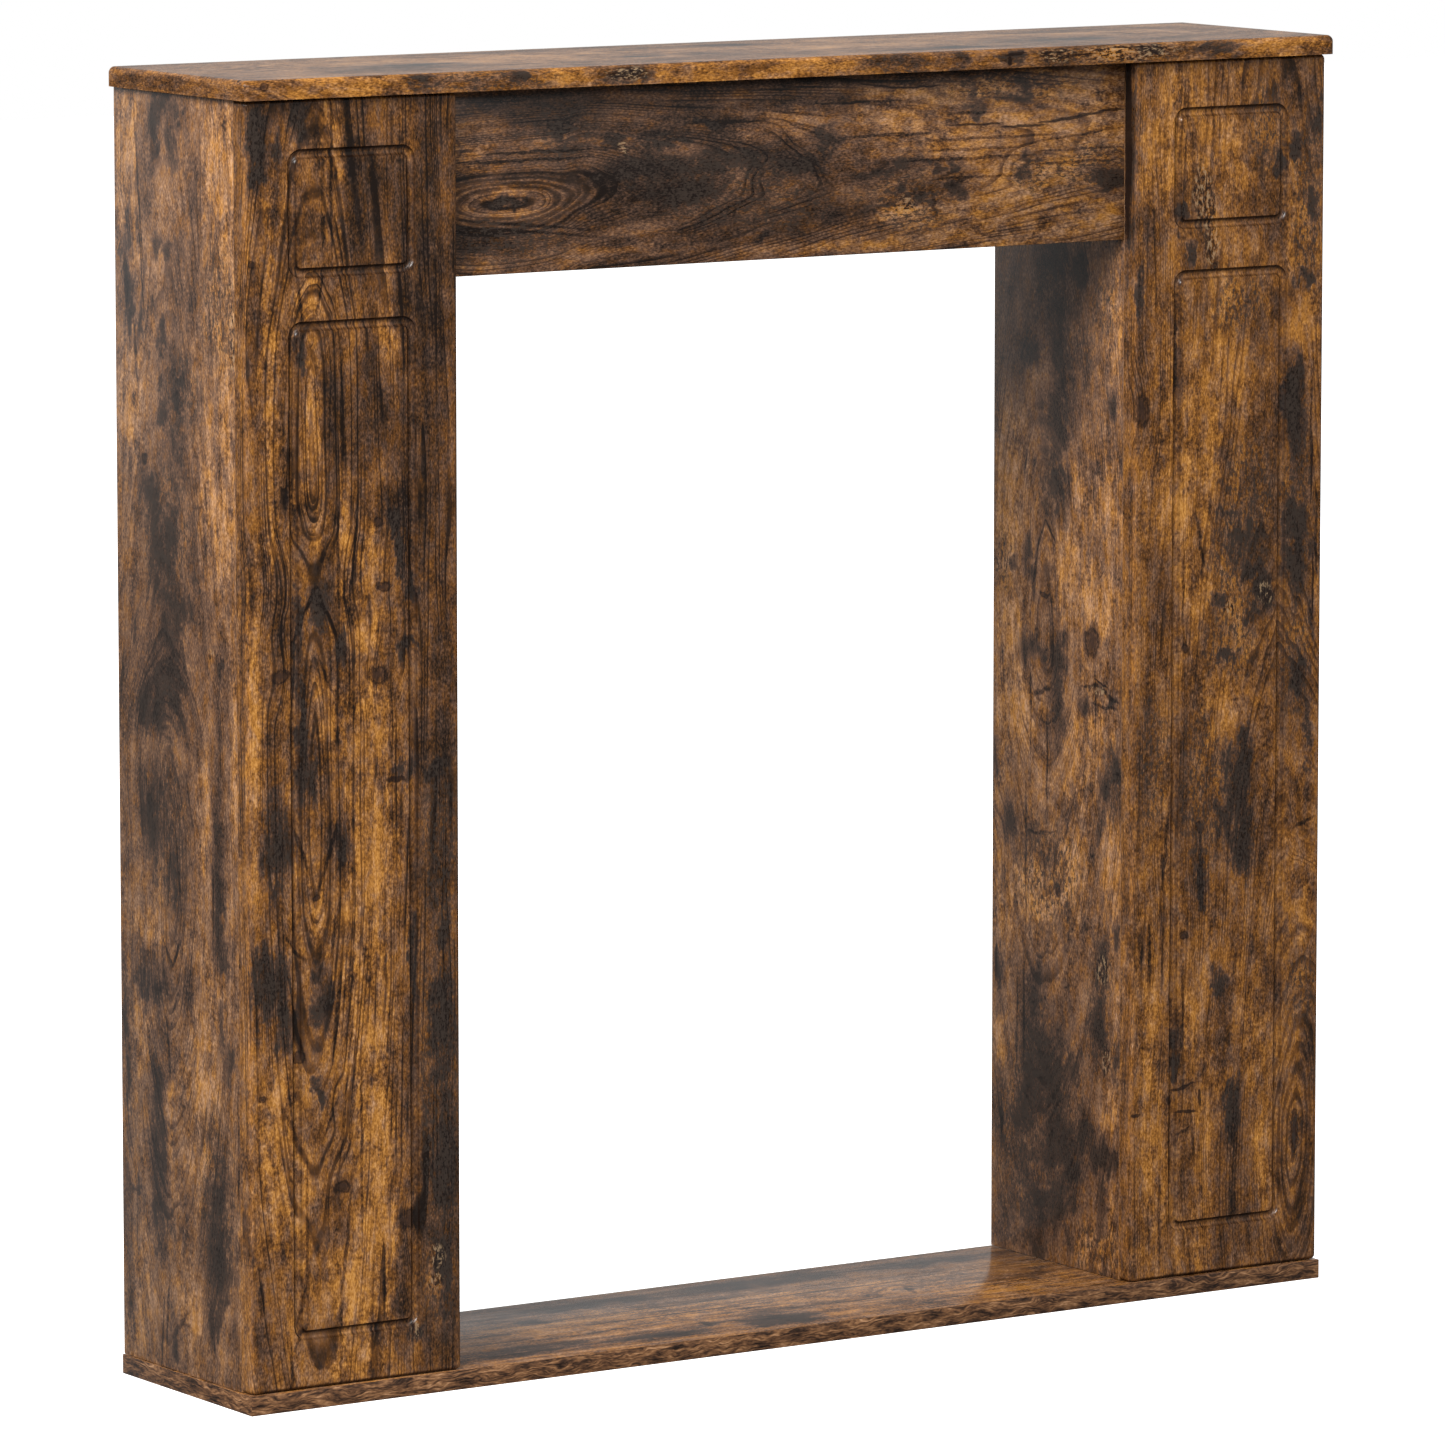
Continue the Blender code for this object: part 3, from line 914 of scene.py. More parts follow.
RIGHT_PANEL = {
    "seed": 13.4,
    "grooves": 403.75,
    "cool": 0.36,
    "forms": 0.14,
    "middle": [(0, 474), (120, 473), (260, 479), (360, 470), (600, 452), (1000, 440)],
    "depth": [
        (0, 26), (30, 18), (55, 12), (78, 7.5), (120, 0.6), (150, 7.5), (175, 12), (190, 15), (215, 19),
        (235, 23), (255, 27), (300, 38), (400, 60), (600, 90), (1000, 110),
    ],
    "sway": 9.0,
    "flutter": 4.0,
    "tone": 0.55,
    "lines": 0.26,
    "figure": 0.9,
    "ring_spacing": 2.6,
    "bold_rings": [(7.5, 0.9), (12.0, 1.1), (15.0, 0.9), (19.0, 0.9), (23.0, 0.9)],
    "glows": [
        (374, 935, 10, 50), (350, 930, 10, 45), (400, 918, 10, 20), (410, 890, 12, 16),
        (480, 772, 12, 22), (330, 900, 12, 40), (380, 700, 14, 60), (360, 640, 8, 60),
        (395, 470, 14, 24), (333, 140, 9, 60), (330, 220, 6, 50), (345, 95, 8, 30), (384, 52, 8, 34),
        (370, 225, 6, 22), (385, 110, 5, 40), (440, 100, 8, 30), (430, 200, 10, 40), (408, 760, 18, 50),
        (470, 860, 10, 40), (345, 690, 7, 80), (480, 300, 8, 20), (383, 600, 5, 40), (375, 560, 12, 14),
    ],
    "shades": [
        (468, 958, 28, 26), (482, 905, 12, 60), (325, 850, 12, 30), (414, 130, 12, 60),
        (404, 215, 10, 30), (470, 480, 16, 36), (470, 690, 16, 56), (448, 690, 8, 46),
        (325, 440, 12, 50), (440, 600, 22, 60), (470, 590, 18, 50), (365, 98, 10, 26),
        (318, 780, 6, 50), (372, 340, 10, 36), (418, 40, 24, 32), (360, 420, 10, 60),
        (335, 560, 16, 40), (412, 385, 26, 60), (450, 850, 12, 20), (425, 770, 12, 30),
        (470, 30, 26, 16), (460, 235, 20, 20), (488, 190, 9, 50), (486, 60, 10, 40),
    ],
    "strokes": [
        (376, 606, 1.4, 22, 10), (484, 690, 1.3, 44, -3), (490, 600, 1.2, 30, 3), (378, 345, 1.5, 30),
        (320, 285, 2.4, 16), (329, 280, 1.6, 28), (341, 290, 1.2, 30), (480, 372, 11, 1.6, 24),
        (362, 240, 1.4, 24, -3), (343, 350, 1.4, 50, -4), (350, 130, 1.4, 36), (372, 130, 1.4, 24, 8),
        (340, 60, 1.6, 40, -2), (352, 740, 1.6, 50), (360, 560, 1.2, 50), (366, 133, 9, 1.6, 24),
    ],
    "stains": [
        # The first stain, on the panel's inner edge beside the lintel's end, is painted shade of the gap
        # there
        (302, 915, 8, 80), (490, 935, 5, 14), (484, 868, 5, 10), (466, 915, 6, 7), (452, 898, 6, 6),
        (357, 862, 6, 7), (365, 832, 4.6, 11), (478, 808, 8, 8), (470, 803, 5, 4), (421, 438, 6, 20),
        (412, 402, 13, 32), (418, 362, 10, 30), (400, 385, 7, 12), (398, 249, 7, 14), (356, 195, 4, 13),
        (411, 148, 7, 22), (470, 600, 10, 34), (487, 590, 4, 12), (468, 705, 9, 36), (415, 600, 14, 16),
        (400, 626, 8, 4), (430, 582, 9, 9), (394, 556, 7, 6), (425, 540, 8, 5), (405, 512, 10, 5),
        (472, 492, 7, 10), (483, 440, 3.6, 22), (315, 805, 4, 22), (381, 330, 3, 18), (485, 540, 3, 12),
        (440, 560, 8, 12),
    ],
    "knots": [
        (318, 711, 8, 11), (378, 375, 4, 4), (361, 521, 2.6, 3.4), (388, 821, 3.6, 3.6),
        (363, 290, 4, 3.4), (473, 120, 3.6, 17),
    ],
    "cracks": [
        (316, 150, 5, 1.8), (363, 168, 12, 1.5, 4), (366, 148, 11, 1.6, -6), (379, 158, 1.6, 7),
        (349, 158, 3.4, 5), (388, 821, 1.5, 1.5), (485, 655, 1.0, 30, -3), (487, 560, 1.0, 30, 3),
        # This last crack, on the same strip beside the lintel's end, is painted shade too
        (301, 915, 5, 76),
    ],
    "speckled": [
        (378, 868, 10, 28), (415, 585, 26, 60), (425, 640, 26, 40), (405, 520, 22, 26),
        (470, 620, 16, 70), (480, 870, 12, 70), (440, 930, 20, 30), (412, 790, 22, 20),
        (480, 240, 12, 26), (473, 115, 5, 22), (380, 400, 20, 60), (330, 430, 14, 50),
        (470, 500, 16, 40),
    ],
    "chipped": [
        (376, 885, 5, 12), (384, 862, 5, 16), (386, 838, 6, 16), (404, 549, 5, 5), (440, 560, 6, 8),
        (376, 880, 8, 20),
    ],
    "swirls": [(318, 710, 17, 9.0), (378, 375, 9, 4.0), (363, 158, 18, 8.0), (480, 366, 12, 6.0)],
}

LEFT_SIDE = {
    "stain": 0.72,
    "forms": 0.17,
    "seed": 27.2,
    "cool": 0.66,
    "gloss": 0.35,
    "middle": [(0, 22), (300, 22), (400, 18), (470, 24), (600, 25), (1000, 40)],
    "depth": [
        (0, 80), (200, 45), (280, 24), (300, 19), (325, 14), (345, 10), (370, 6), (405, 0.6), (440, 7),
        (455, 10), (470, 14), (500, 22), (600, 60), (1000, 90),
    ],
    "sway": 9.0,
    "flutter": 4.0,
    "tone": 0.60,
    "lines": 0.22,
    "figure": 0.6,
    "ring_spacing": 2.8,
    "bold_rings": [(6.0, 0.8), (10.0, 1.0), (14.0, 0.8), (19.0, 0.8)],
    "glows": [
        (-60, 930, 26, 50), (-64, 830, 14, 60), (-66, 760, 12, 50), (86, 940, 10, 45), (88, 900, 8, 36),
        (70, 960, 5, 30), (70, 880, 6, 40), (-35, 690, 12, 24), (-60, 660, 12, 30), (-86, 520, 9, 80),
        (-73, 470, 5, 40), (-88, 300, 8, 120), (-84, 130, 9, 90), (-28, 440, 7, 36), (-20, 235, 26, 24),
        (-25, 300, 14, 40), (27, 200, 4, 34), (72, 85, 10, 34), (75, 40, 12, 20), (70, 270, 14, 30),
        (60, 350, 20, 14), (-45, 320, 10, 16), (90, 340, 6, 40), (-5, 60, 18, 20), (78, 750, 12, 50),
        (-20, 180, 20, 14),
    ],
    "shades": [
        (-88, 900, 6, 90), (-88, 740, 5, 60), (20, 965, 26, 26), (50, 930, 12, 50), (-20, 900, 10, 60),
        (0, 840, 24, 40), (15, 745, 26, 56), (75, 825, 18, 26), (10, 700, 34, 20), (20, 640, 36, 60),
        (30, 540, 56, 70), (-55, 530, 12, 50), (-52, 440, 16, 80), (30, 455, 50, 46),
        (-52, 355, 16, 30), (45, 310, 38, 24), (-5, 310, 20, 16), (-48, 160, 22, 26),
        (-45, 100, 28, 50), (46, 180, 16, 90), (90, 290, 10, 60), (20, 30, 16, 20), (90, 130, 8, 60),
        (60, 130, 20, 20), (-25, 590, 20, 30), (75, 700, 16, 16), (10, 400, 20, 40),
    ],
    "strokes": [
        (64, 915, 1.3, 72, -5), (60, 850, 1.2, 30, -4), (11, 400, 1.3, 30, -4), (25, 395, 1.3, 26, 4),
        (14, 337, 1.4, 12, 30), (28, 335, 1.4, 12, -34), (16, 300, 1.3, 10, 30), (28, 262, 1.6, 20, -6),
        (-40, 380, 1.6, 30), (32, 60, 1.4, 30, 8), (40, 40, 1.2, 30, 6), (83, 840, 3.0, 22, -6),
        (70, 790, 2.0, 26, -8), (-76, 200, 1.6, 40),
    ],
    "stains": [
        (22, 976, 20, 9), (40, 966, 6, 20), (14, 944, 8, 18), (21, 867, 7, 9), (37, 870, 7, 8),
        (81, 869, 8, 6), (89, 862, 6, 4.5), (80, 889, 3.4, 14), (80, 835, 4, 14), (74, 814, 11, 8),
        (60, 808, 4, 8), (31, 796, 6, 12), (34, 770, 4, 16), (32, 742, 7, 12), (0, 768, 10, 3.4),
        (12, 754, 6, 4.4), (12, 716, 8, 11), (50, 684, 15, 13), (44, 640, 11, 44), (20, 652, 8, 20),
        (-20, 620, 8, 9), (16, 575, 20, 34), (35, 530, 30, 32), (60, 512, 12, 20), (73, 577, 6, 13),
        (-53, 560, 4, 9), (-48, 392, 8, 44), (52, 436, 14, 34), (-61, 262, 8, 16), (-52, 286, 4, 18),
        (45, 185, 8, 56), (47, 128, 7, 18), (94, 285, 5, 22), (60, 308, 18, 9), (-48, 115, 17, 30),
        (-40, 62, 11, 18), (-55, 78, 5, 5), (27, 64, 4, 12), (80, 148, 7, 5), (20, 28, 6, 9),
        (-45, 160, 8, 14), (17, 402, 4.5, 22), (0, 600, 14, 10), (-58, 340, 8, 12), (90, 225, 4, 20),
        (-80, 155, 3, 10),
    ],
    "knots": [(57, 708, 4, 4)],
    "cracks": [(-92, 720, 2.4, 6), (-82, 962, 1.4, 10)],
    "speckled": [
        (-73, 815, 4, 34), (20, 655, 34, 46), (-50, 830, 20, 40), (30, 130, 12, 12), (25, 430, 24, 60),
        (0, 760, 24, 30), (-45, 150, 24, 60),
    ],
    "chipped": [(-73, 848, 2.6, 4), (-74, 822, 3, 8), (-74, 795, 3, 10), (-40, 568, 4, 3)],
    "swirls": [(83, 866, 15, 8.0), (80, 148, 13, 6.0), (-40, 62, 14, 6.0)],
}

RIGHT_INNER = {
    "drift": (0.0006, 0.0, 0.0, 0.0),
    "stain": 0.66,
    "forms": 0.17,
    "seed": 39.1,
    "cool": 0.62,
    "gloss": 0.35,
    "middle": [(0, 36), (480, 26), (530, 28), (612, 28), (1000, 40)],
    "depth": [
        (0, 120), (400, 46), (480, 16), (505, 5), (520, 0.6), (530, 3), (545, 6), (553, 8), (576, 11),
        (612, 17), (650, 26), (720, 46), (1000, 100),
    ],
    "sway": 7.0,
    "flutter": 3.0,
    "tone": 0.58,
    "lines": 0.22,
    "figure": 0.55,
    "ring_spacing": 2.4,
    "bold_rings": [(8.0, 1.0), (11.0, 1.2), (17.0, 0.7)],
    "glows": [
        (-66, 770, 8, 40), (-60, 640, 20, 30), (-45, 560, 24, 24), (-20, 640, 10, 16),
        (-45, 450, 20, 16), (-20, 425, 24, 30), (70, 460, 22, 26), (-65, 345, 10, 40),
        (-66, 235, 8, 40), (-66, 140, 12, 18), (-68, 78, 5, 34), (88, 350, 8, 46), (-50, 34, 26, 12),
        (-75, 40, 6, 22), (80, 640, 14, 60), (75, 520, 14, 24), (45, 310, 30, 24), (-15, 330, 20, 40),
        (84, 290, 9, 30), (-2, 580, 14, 30), (88, 190, 6, 20),
    ],
    "shades": [
        (25, 800, 60, 46), (80, 770, 24, 50), (-10, 752, 26, 22), (5, 715, 30, 30), (-82, 740, 8, 50),
        (14, 640, 22, 26), (10, 500, 20, 30), (8, 450, 14, 34), (-66, 415, 16, 24), (78, 365, 16, 26),
        (-50, 225, 20, 44), (22, 130, 56, 90), (-45, 110, 36, 22), (30, 50, 40, 30), (40, 225, 24, 40),
        (-84, 480, 7, 60), (-84, 560, 5, 60), (86, 130, 14, 40), (90, 240, 10, 30), (60, 40, 40, 26),
    ],
    "strokes": [
        (20, 604, 1.1, 10, -36), (35, 598, 1.3, 15, 26), (41, 575, 1.3, 12, 10),
        (-60, 482, 14, 1.8, 24), (-36, 487, 14, 1.4, -6), (-55, 473, 16, 1.6, 4),
        (34, 476, 14, 2.0, -14), (30, 362, 20, 1.2, -4), (20, 350, 2, 12, 20), (28, 340, 1.8, 12, -10),
        (12, 340, 1.6, 10, 10), (85, 120, 1.6, 20), (53, 340, 1.4, 60), (24, 420, 1.2, 40),
        (55, 215, 1.4, 40), (64, 205, 1.2, 40), (47, 460, 1.2, 36),
    ],
    "stains": [
        (15, 828, 24, 20), (-15, 815, 11, 13), (11, 760, 13, 30), (44, 745, 16, 11), (12, 715, 9, 20),
        (15, 687, 20, 22), (-62, 715, 4.4, 14), (4, 652, 7, 6), (14, 640, 7, 10), (54, 582, 6, 15),
        (50, 508, 15, 13), (34, 508, 6, 5), (8, 506, 9, 15), (8, 475, 8, 26), (-28, 471, 8, 7),
        (-64, 476, 6, 4), (97, 412, 5, 15), (-70, 424, 8, 9), (-57, 409, 6, 13), (-50, 377, 5, 10),
        (78, 364, 8, 14), (-52, 264, 7, 15), (35, 250, 4, 16), (92, 250, 3, 18), (12, 168, 20, 34),
        (-8, 178, 14, 14), (40, 160, 16, 40), (52, 92, 13, 16), (-54, 110, 24, 11), (-28, 122, 16, 18),
        (4, 110, 26, 26), (-55, 76, 7, 20), (40, 215, 10, 30), (30, 60, 26, 18), (-72, 292, 5, 5),
        (-46, 215, 9, 16), (-76, 190, 6, 9), (45, 562, 4.6, 7), (60, 130, 14, 20), (72, 576, 4, 7),
        (0, 65, 16, 24), (40, 25, 26, 8),
    ],
    "knots": [(-37, 522, 9, 11), (8, 318, 3, 4), (28, 554, 6, 1.8)],
    "cracks": [(94, 250, 1.2, 18), (-50, 490, 10, 1.0, 12)],
    "speckled": [
        (-52, 262, 14, 24), (-45, 210, 16, 34), (-68, 415, 14, 28), (-45, 35, 34, 20),
        (-10, 755, 26, 26), (-50, 790, 16, 20), (20, 640, 18, 20), (85, 575, 14, 20), (30, 340, 24, 20),
        (30, 120, 60, 80), (-75, 190, 8, 16), (20, 330, 40, 40),
    ],
    "chipped": [(-54, 262, 8, 10), (-60, 190, 5, 10), (-45, 485, 12, 3)],
    "swirls": [(-37, 522, 16, 8.0), (54, 582, 12, 6.0), (78, 362, 14, 7.0), (-45, 478, 18, 8.0)],
}

LINTEL = {
    "seed": 51.6,
    "stain": 0.84,
    "patches": 0.6,
    "cool": 0.62,
    "middle": [
        (-320, 898), (-258, 898), (-215, 900), (-180, 907), (-100, 908), (0, 915), (60, 920),
        (320, 930),
    ],
    "depth": [
        (-320, 15), (-303, 11), (-275, 3), (-258, 0.6), (-240, 3), (-215, 11), (-205, 14), (-190, 17.5),
        (-176, 21), (-100, 34), (0, 50), (320, 80),
    ],
    "tone": 0.50,
    "sway": 6.0,
    "flutter": 3.6,
    "lines": 0.34,
    "figure": 0.8,
    "ring_spacing": 2.3,
    "bands": 0.42,
    "clouds": 0.75,
    "bold_rings": [(3.5, 1.0), (11.0, 1.2), (14.5, 1.2), (18.0, 1.2), (21.5, 1.1)],
    "glows": [
        (906, -258, 2.4, 30), (891, -255, 2.6, 28), (934, -292, 9, 12), (937, -155, 5, 4),
        (948, -10, 9, 34), (950, 85, 9, 32), (966, 110, 5, 40), (852, 30, 4, 90), (858, -160, 5, 40),
        (965, 258, 8, 40), (978, 240, 4, 50), (932, 245, 7, 40), (915, 190, 8, 20), (890, 245, 8, 20),
        (880, 100, 10, 24), (900, 175, 8, 20), (870, 200, 14, 60), (868, 290, 10, 24),
        (925, 290, 6, 24), (950, 290, 6, 20), (852, 150, 5, 60), (915, 210, 60, 110),
    ],
    "shades": [
        (912, -100, 24, 90), (890, -80, 20, 60), (960, -220, 20, 44), (978, -250, 9, 90),
        (950, -120, 14, 40), (915, -10, 18, 34), (905, 90, 14, 50), (875, -90, 14, 50),
        (868, -270, 14, 50), (895, 150, 12, 30), (982, 60, 5, 160), (895, 296, 14, 24),
        (925, -170, 9, 40), (880, 40, 14, 30), (940, -60, 9, 30), (965, 0, 8, 50), (905, -110, 60, 150),
    ],
    "strokes": [
        (952, -62, 1.4, 36), (930, -250, 1.2, 60, -3), (936, -230, 1.0, 50), (882, -250, 1.2, 60, 4),
        (876, -240, 1.0, 60, 4), (930, 190, 1.2, 60), (922, 170, 1.0, 50), (915, 160, 1.2, 60),
        (936, 90, 1.2, 40), (900, 170, 1.0, 40), (962, 60, 1.0, 40, -3), (956, 0, 1.0, 30, 6),
        (944, 10, 1.0, 16, 16), (948, 4, 1.0, 20, 12), (880, 130, 14, 1.6, -10), (950, 165, 1.2, 20),
        (975, 0, 1.2, 40), (928, 260, 1.0, 50, -4), (918, 270, 1.0, 40, -3), (908, 260, 1.0, 40),
    ],
    "stains": [
        (934, 33, 11, 13), (911, 150, 5, 6), (910, 136, 4.6, 4.6), (893, 102, 5, 6), (952, -80, 4, 7),
        (968, 218, 8, 7), (960, 203, 3.6, 14, 16), (953, 168, 6, 10), (965, 163, 6, 5),
        (916, 222, 5, 5.5), (901, 214, 6, 8), (894, 296, 8, 15), (899, -258, 2.8, 16),
        (922, -60, 9, 46), (918, -130, 12, 34), (900, -95, 9, 30), (906, 80, 5, 16), (950, -215, 9, 12),
        (916, 0, 8, 20), (862, -28, 3, 8), (885, 118, 5, 4), (942, -160, 5, 14), (890, 150, 5, 8),
        (915, 110, 3.6, 20), (940, -120, 7, 20),
    ],
    "knots": [],
    "cracks": [
        (941, 170, 1.1, 26, 3), (938, 214, 1.2, 24, -2), (943, 262, 1.4, 34, -6),
        (947, 300, 1.4, 14, -2), (972, 112, 1.0, 26), (974, 80, 0.9, 22, 4), (984, 30, 1.2, 60),
    ],
    "speckled": [
        (890, 100, 16, 40), (870, 110, 12, 26), (950, -210, 20, 30), (870, -270, 16, 60),
        (885, -10, 18, 40), (905, 280, 16, 40), (900, 225, 14, 20), (970, 200, 12, 60),
        (900, -60, 24, 60),
    ],
    "chipped": [(936, -155, 5, 4), (882, 104, 5, 9)],
    "swirls": [(934, 33, 20, 12.0), (911, 42, 10, 8.0), (908, 220, 12, 6.0), (908, -24, 10, 5.0)],
}

MANTEL = {
    "seed": 67.3,
    "cool": 0.36,
    "gloss": 0.12,
    "forms": 0.15,
    "patches": 0.6,
    "middle": [(-500, 20), (0, 0), (500, 30)],
    "depth": [(-500, 160), (0, 120), (500, 170)],
    "tone": 0.53,
    "lines": 0.12,
    "glows": [
        (20, -175, 22, 40), (30, -120, 20, 30), (25, -25, 20, 30), (30, 60, 18, 24), (20, 150, 26, 20),
        (75, 455, 18, 30), (-85, 0, 8, 200), (-90, -420, 12, 70), (-107, -415, 9, 60),
        (-107, -212, 9, 20), (-107, -50, 9, 90), (-107, 270, 7, 30), (-107, 440, 9, 50),
        (285, -98, 40, 9), (292, 40, 6, 40), (20, -250, 60, 200), (20, 240, 60, 200),
    ],
    "shades": [
        (-20, -300, 30, 60), (-40, -350, 26, 40), (0, -95, 10, 24), (-20, -40, 16, 24),
        (60, 30, 16, 30), (-10, 290, 34, 70), (-106, -300, 9, 46), (-107, 85, 9, 26), (292, -40, 8, 50),
        (75, -200, 14, 80), (60, 330, 14, 50), (-60, 150, 18, 50), (-106, 235, 8, 30),
    ],
    "stains": [
        (-106, -345, 8, 9), (-104, -262, 5, 6), (-107, -165, 6, 20), (-106, 138, 8, 11),
        (-106, 191, 5, 11), (-107, 389, 8, 17), (-10, -300, 10, 30), (-30, 300, 12, 36),
        (60, 30, 8, 14), (292, -30, 6, 20), (-60, 165, 10, 16), (-104, 320, 4, 14), (-20, -100, 6, 14),
    ],
    "knots": [(-104, -482, 3, 3)],
    "cracks": [
        (-104, 192, 1.6, 10), (-109, 186, 4, 2), (-104, 228, 1.0, 14), (-107, 250, 1.0, 16),
        (-102, 300, 1.2, 20),
    ],
    "speckled": [
        (-107, 85, 9, 30), (-107, 280, 9, 70), (-107, -290, 9, 60), (-30, 260, 30, 60),
        (-20, -320, 30, 60),
    ],
    "chipped": [(-106, 300, 6, 40), (-106, 230, 5, 14), (-106, -165, 5, 16)],
}

BASE = {
    "seed": 79.5,
    "cool": 0.50,
    "gloss": 0.18,
    "forms": 0.10,
    "stain": 0.8,
    "middle": [(-500, 0), (0, -10), (500, 10)],
    "depth": [(-500, 60), (0, 30), (500, 70)],
    "tone": 0.58,
    "bands": 0.55,
    "glows": [
        (5, -120, 26, 120), (10, 100, 26, 120), (-50, 220, 22, 60), (-60, 60, 14, 40),
        (20, 260, 16, 40),
    ],
    "shades": [
        (70, 60, 20, 230), (-60, -225, 22, 60), (-62, -110, 14, 50), (-60, 0, 24, 40),
        (35, -170, 12, 24),
    ],
    "stains": [
        (-58, -226, 14, 46), (-65, -120, 9, 36), (-60, 0, 20, 28), (70, -100, 12, 60), (72, 60, 14, 70),
        (70, 230, 12, 50), (35, -170, 8, 12), (-15, 150, 6, 9), (-50, -60, 6, 9),
    ],
    "strokes": [
        (-20, 150, 14, 3, 20), (-10, 160, 10, 3, -30), (-45, -60, 12, 3, 10), (30, 20, 1.6, 80),
        (0, -60, 1.4, 90), (15, 100, 1.4, 90),
    ],
    "swirls": [(-15, 150, 16, 9.0), (-50, -60, 14, 8.0)],
}

LEFT_INNER = {
    "seed": 91.2,
    "cool": 0.55,
    "middle": [(0, 10), (500, -20), (1000, 30)],
    "depth": [(0, 30), (300, 60), (520, 4), (640, 30), (1000, 80)],
    "tone": 0.57,
    "lines": 0.26,
    "stains": [
        (30, 800, 22, 50), (-40, 560, 14, 40), (50, 300, 18, 60), (-30, 120, 24, 40), (0, 690, 10, 20),
        (70, 620, 8, 30), (-60, 880, 10, 20), (20, 210, 9, 16), (-10, 440, 6, 14), (60, 60, 20, 12),
    ],
    "shades": [(20, 740, 50, 100), (-20, 200, 50, 120), (60, 420, 20, 60), (-60, 640, 14, 60)],
    "glows": [
        (-50, 700, 20, 90), (60, 520, 20, 80), (-10, 400, 20, 60), (-60, 320, 16, 60),
        (30, 920, 24, 30), (70, 160, 14, 50),
    ],
    "knots": [(10, 620, 6, 7), (-60, 330, 4, 5)],
    "speckled": [(20, 760, 50, 80), (-20, 180, 40, 90)],
    "swirls": [(10, 620, 16, 8.0), (-60, 330, 12, 6.0)],
}

RIGHT_OUTER = {
    "seed": 107.6,
    "cool": 0.52,
    "middle": [(0, -20), (500, 10), (1000, -10)],
    "depth": [(0, 80), (260, 3), (420, 34), (700, 70), (1000, 40)],
    "tone": 0.58,
    "lines": 0.28,
    "figure": 0.7,
    "stains": [
        (-30, 880, 20, 40), (40, 640, 22, 60), (-50, 420, 12, 50), (20, 160, 26, 50), (70, 320, 10, 40),
        (0, 780, 10, 26), (-70, 700, 8, 24), (60, 900, 14, 14), (-60, 120, 12, 26), (10, 520, 7, 18),
    ],
    "shades": [(0, 780, 50, 110), (30, 120, 50, 110), (-40, 560, 20, 50), (60, 480, 20, 60)],
    "glows": [
        (50, 820, 22, 90), (-50, 600, 20, 80), (0, 380, 22, 70), (-60, 180, 16, 60), (30, 950, 24, 20),
        (80, 220, 10, 60),
    ],
    "knots": [(-20, 700, 6, 7), (55, 470, 4, 5)],
    "speckled": [(0, 780, 50, 90), (30, 150, 44, 80)],
    "swirls": [(-20, 700, 16, 8.0), (55, 470, 12, 6.0)],
}


# Boards

def dress(obj, node, materials, place):
    """Maps a board's grain, gives it its finish and lets it stand for its node."""
    map_grain(obj, place)
    for material in materials:
        obj.data.materials.append(material)
    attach(obj, "root")
    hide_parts(node)


def band_edges(obj):
    """Gives the faces round a lying board's edge its second material."""
    for face in obj.data.polygons:
        face.material_index = 1 if abs(face.normal.z) < EDGE_ON else 0


mantel = mantel_object()
even_flat_faces(mantel)
dress(mantel, "mantel_board", [printed_wood("mantel_decor", MANTEL)], mantel_place)

base = eased_board("base", "base_board")
dress(base, "base_board", [printed_wood("base_decor", BASE), edge_band()], base_place)
band_edges(base)

lintel = eased_board("lintel", "lintel_board")
dress(lintel, "lintel_board", [printed_wood("lintel_decor", LINTEL)], lintel_place)

for node, sheet, outward in (
    ("left_outer_side", LEFT_SIDE, -1),
    ("left_inner_side", LEFT_INNER, 1),
    ("right_inner_side", RIGHT_INNER, -1),
    ("right_outer_side", RIGHT_OUTER, 1),
):
    side = eased_board(node.replace("_side", ""), node)
    dress(side, node, [printed_wood(f"{node}_decor", sheet)], side_place(outward))

for name, sheet in (("left", LEFT_PANEL), ("right", RIGHT_PANEL)):
    node = f"{name}_front_panel"
    panel = panel_object(name)
    dress(panel, node, [printed_wood(f"{name}_panel_decor", sheet)], panel_place(node))


# Studio

CAMERA_PLACE = Vector((-4.03929, -6.14726, 1.46762))
CAMERA_YAW = 0.57973
CAMERA_PITCH = 0.13387
CAMERA_LENS = 237.557
SENSOR_WIDTH = 36.0
CLIP_END = 100.0

WHITE = (1.0, 1.0, 1.0, 1.0)
FLOOR_SEEN = (0.8, 0.8, 0.8, 1.0)
FLOOR_LIT = (0.16, 0.16, 0.16, 1.0)
FLOOR_ROUGHNESS = 0.9
FLOOR_SIZE = 12.0
FLOOR_DROP = 0.0002
WORLD_LIGHT = 0.5

# Soft lights: name, place, size and power in watts, all turned to the object's middle
LIT_POINT = (0.0, 0.0, 0.5)
LIGHTS = (
    ("key", (-4.2, -2.5, 4.4), 3.0, 640.0),
    ("fill", (-0.6, -4.8, 3.2), 2.0, 120.0),
)


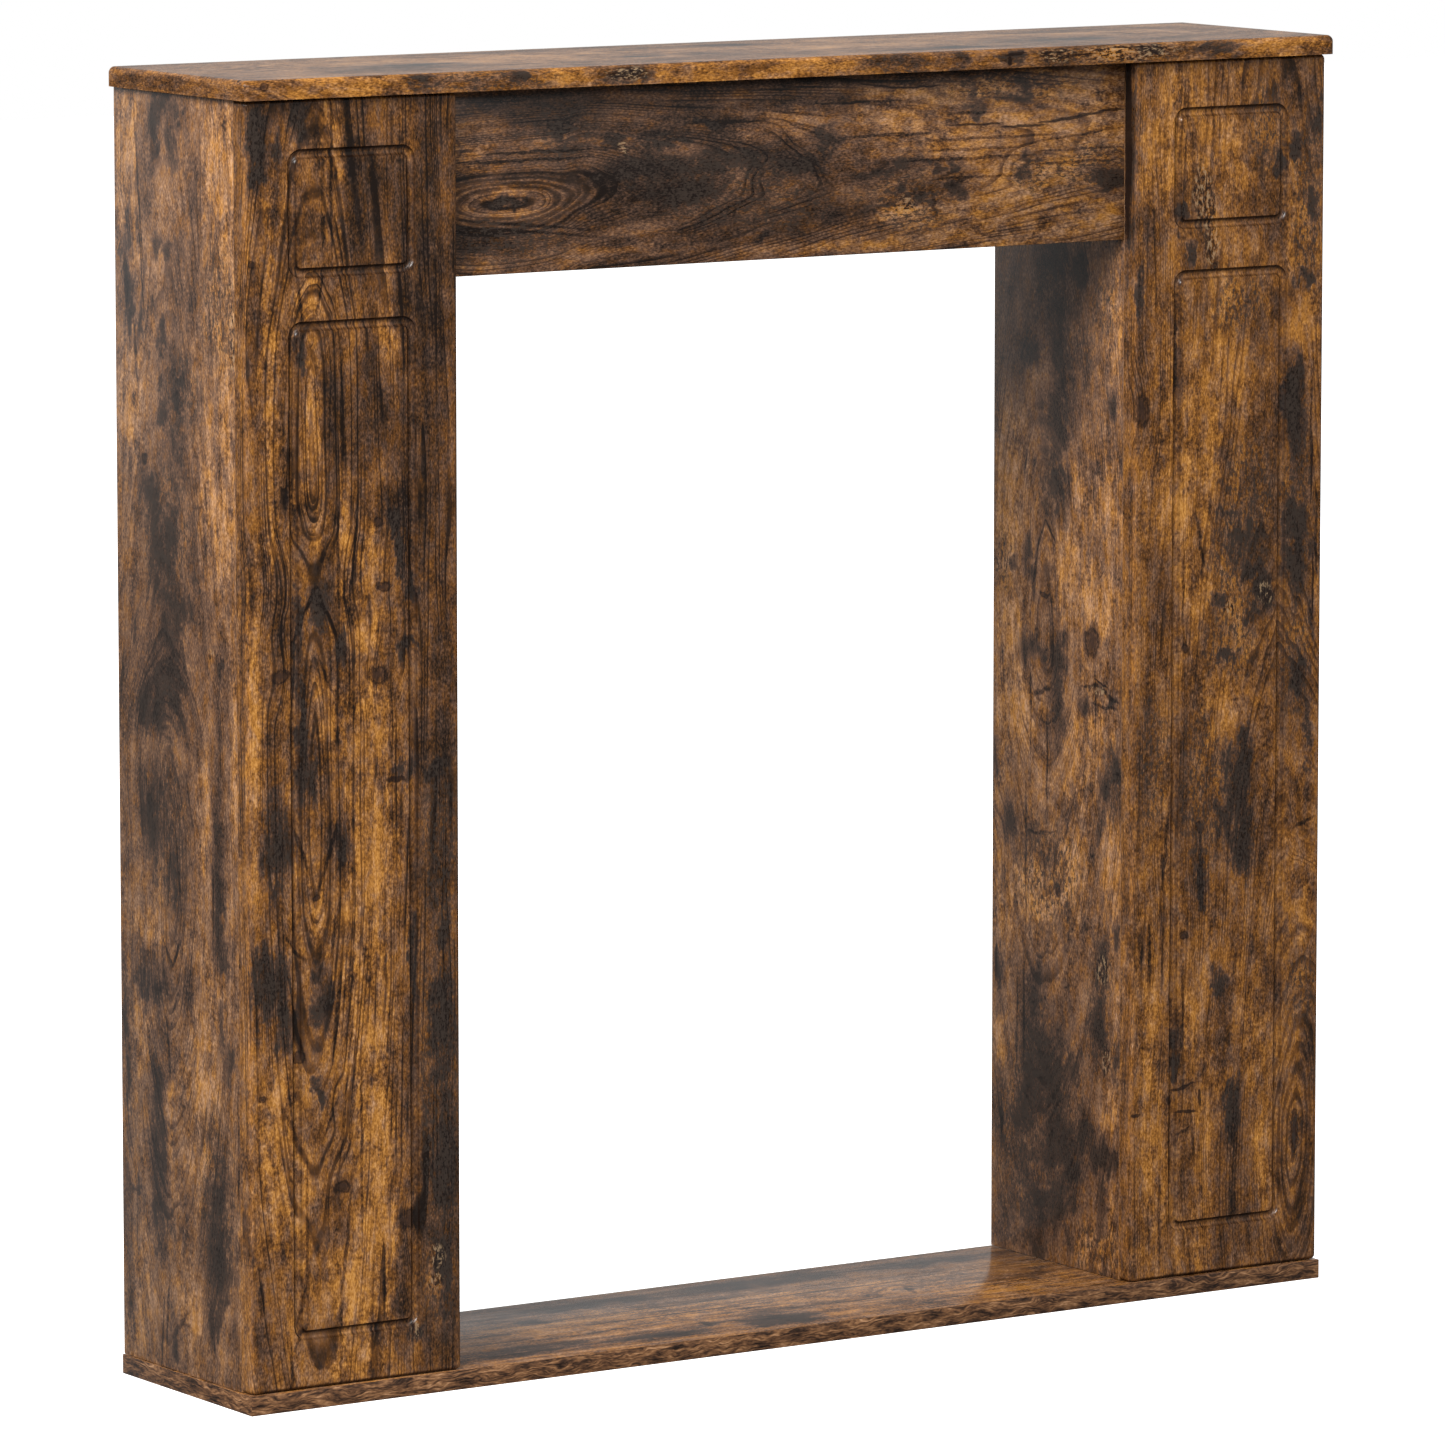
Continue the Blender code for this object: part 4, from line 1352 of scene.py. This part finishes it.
def add_camera():
    """At the photograph's viewing angle, level about its line of sight and without shift."""
    data = bpy.data.cameras.new("camera")
    data.lens = CAMERA_LENS
    data.sensor_width = SENSOR_WIDTH
    data.clip_end = CLIP_END
    camera = placed("camera", data)
    camera.location = CAMERA_PLACE
    camera.rotation_euler = (math.radians(90) - CAMERA_PITCH, 0.0, -CAMERA_YAW)
    bpy.context.scene.camera = camera


def split_for_camera(tree, others, seen, output):
    """Shows the camera one shader, and all other rays another."""
    path = add_node(tree, "LightPath")
    inputs = {"Fac": path.outputs["Is Camera Ray"], 1: others.outputs[0], 2: seen.outputs[0]}
    mix = add_node(tree, "MixShader", inputs)
    tree.links.new(mix.outputs[0], tree.nodes[output].inputs["Surface"])


def floor_material():
    """A pale, matt floor. The lens sees it brighter than the object does, as a lit sweep."""
    material, tree, seen = new_material("floor_white")
    inputs = {
        "Base Color": FLOOR_SEEN,
        "Roughness": FLOOR_ROUGHNESS,
        "Specular IOR Level": 0.0,
        "Emission Color": WHITE,
        "Emission Strength": 1.0,
    }
    fill(tree, seen, inputs)
    soft = add_node(tree, "BsdfDiffuse", {"Color": FLOOR_LIT})
    split_for_camera(tree, soft, seen, "Material Output")
    return material


def add_floor():
    data = bmesh.new()
    bmesh.ops.create_grid(data, x_segments=1, y_segments=1, size=FLOOR_SIZE)
    floor = board_object("floor", data)
    floor.data.materials.append(floor_material())
    floor.location.z = -FLOOR_DROP


def add_area_light(name, place, size, power):
    data = bpy.data.lights.new(name, "AREA")
    data.shape = "SQUARE"
    data.size = size
    data.energy = power
    light = placed(name, data)
    light.location = place
    light.rotation_euler = (Vector(place) - Vector(LIT_POINT)).to_track_quat("Z", "Y").to_euler()


def add_world():
    """Even soft light all round, and a white background behind the object."""
    world = bpy.data.worlds.new("studio")
    bpy.context.scene.world = world
    world.use_nodes = True
    tree = world.node_tree
    soft = tree.nodes["Background"]
    fill(tree, soft, {"Color": WHITE, "Strength": WORLD_LIGHT})
    seen = add_node(tree, "Background", {"Color": WHITE, "Strength": 1.0})
    split_for_camera(tree, soft, seen, "World Output")


add_camera()
add_floor()
add_world()
for light in LIGHTS:
    add_area_light(*light)
bpy.context.scene.view_settings.view_transform = "Standard"
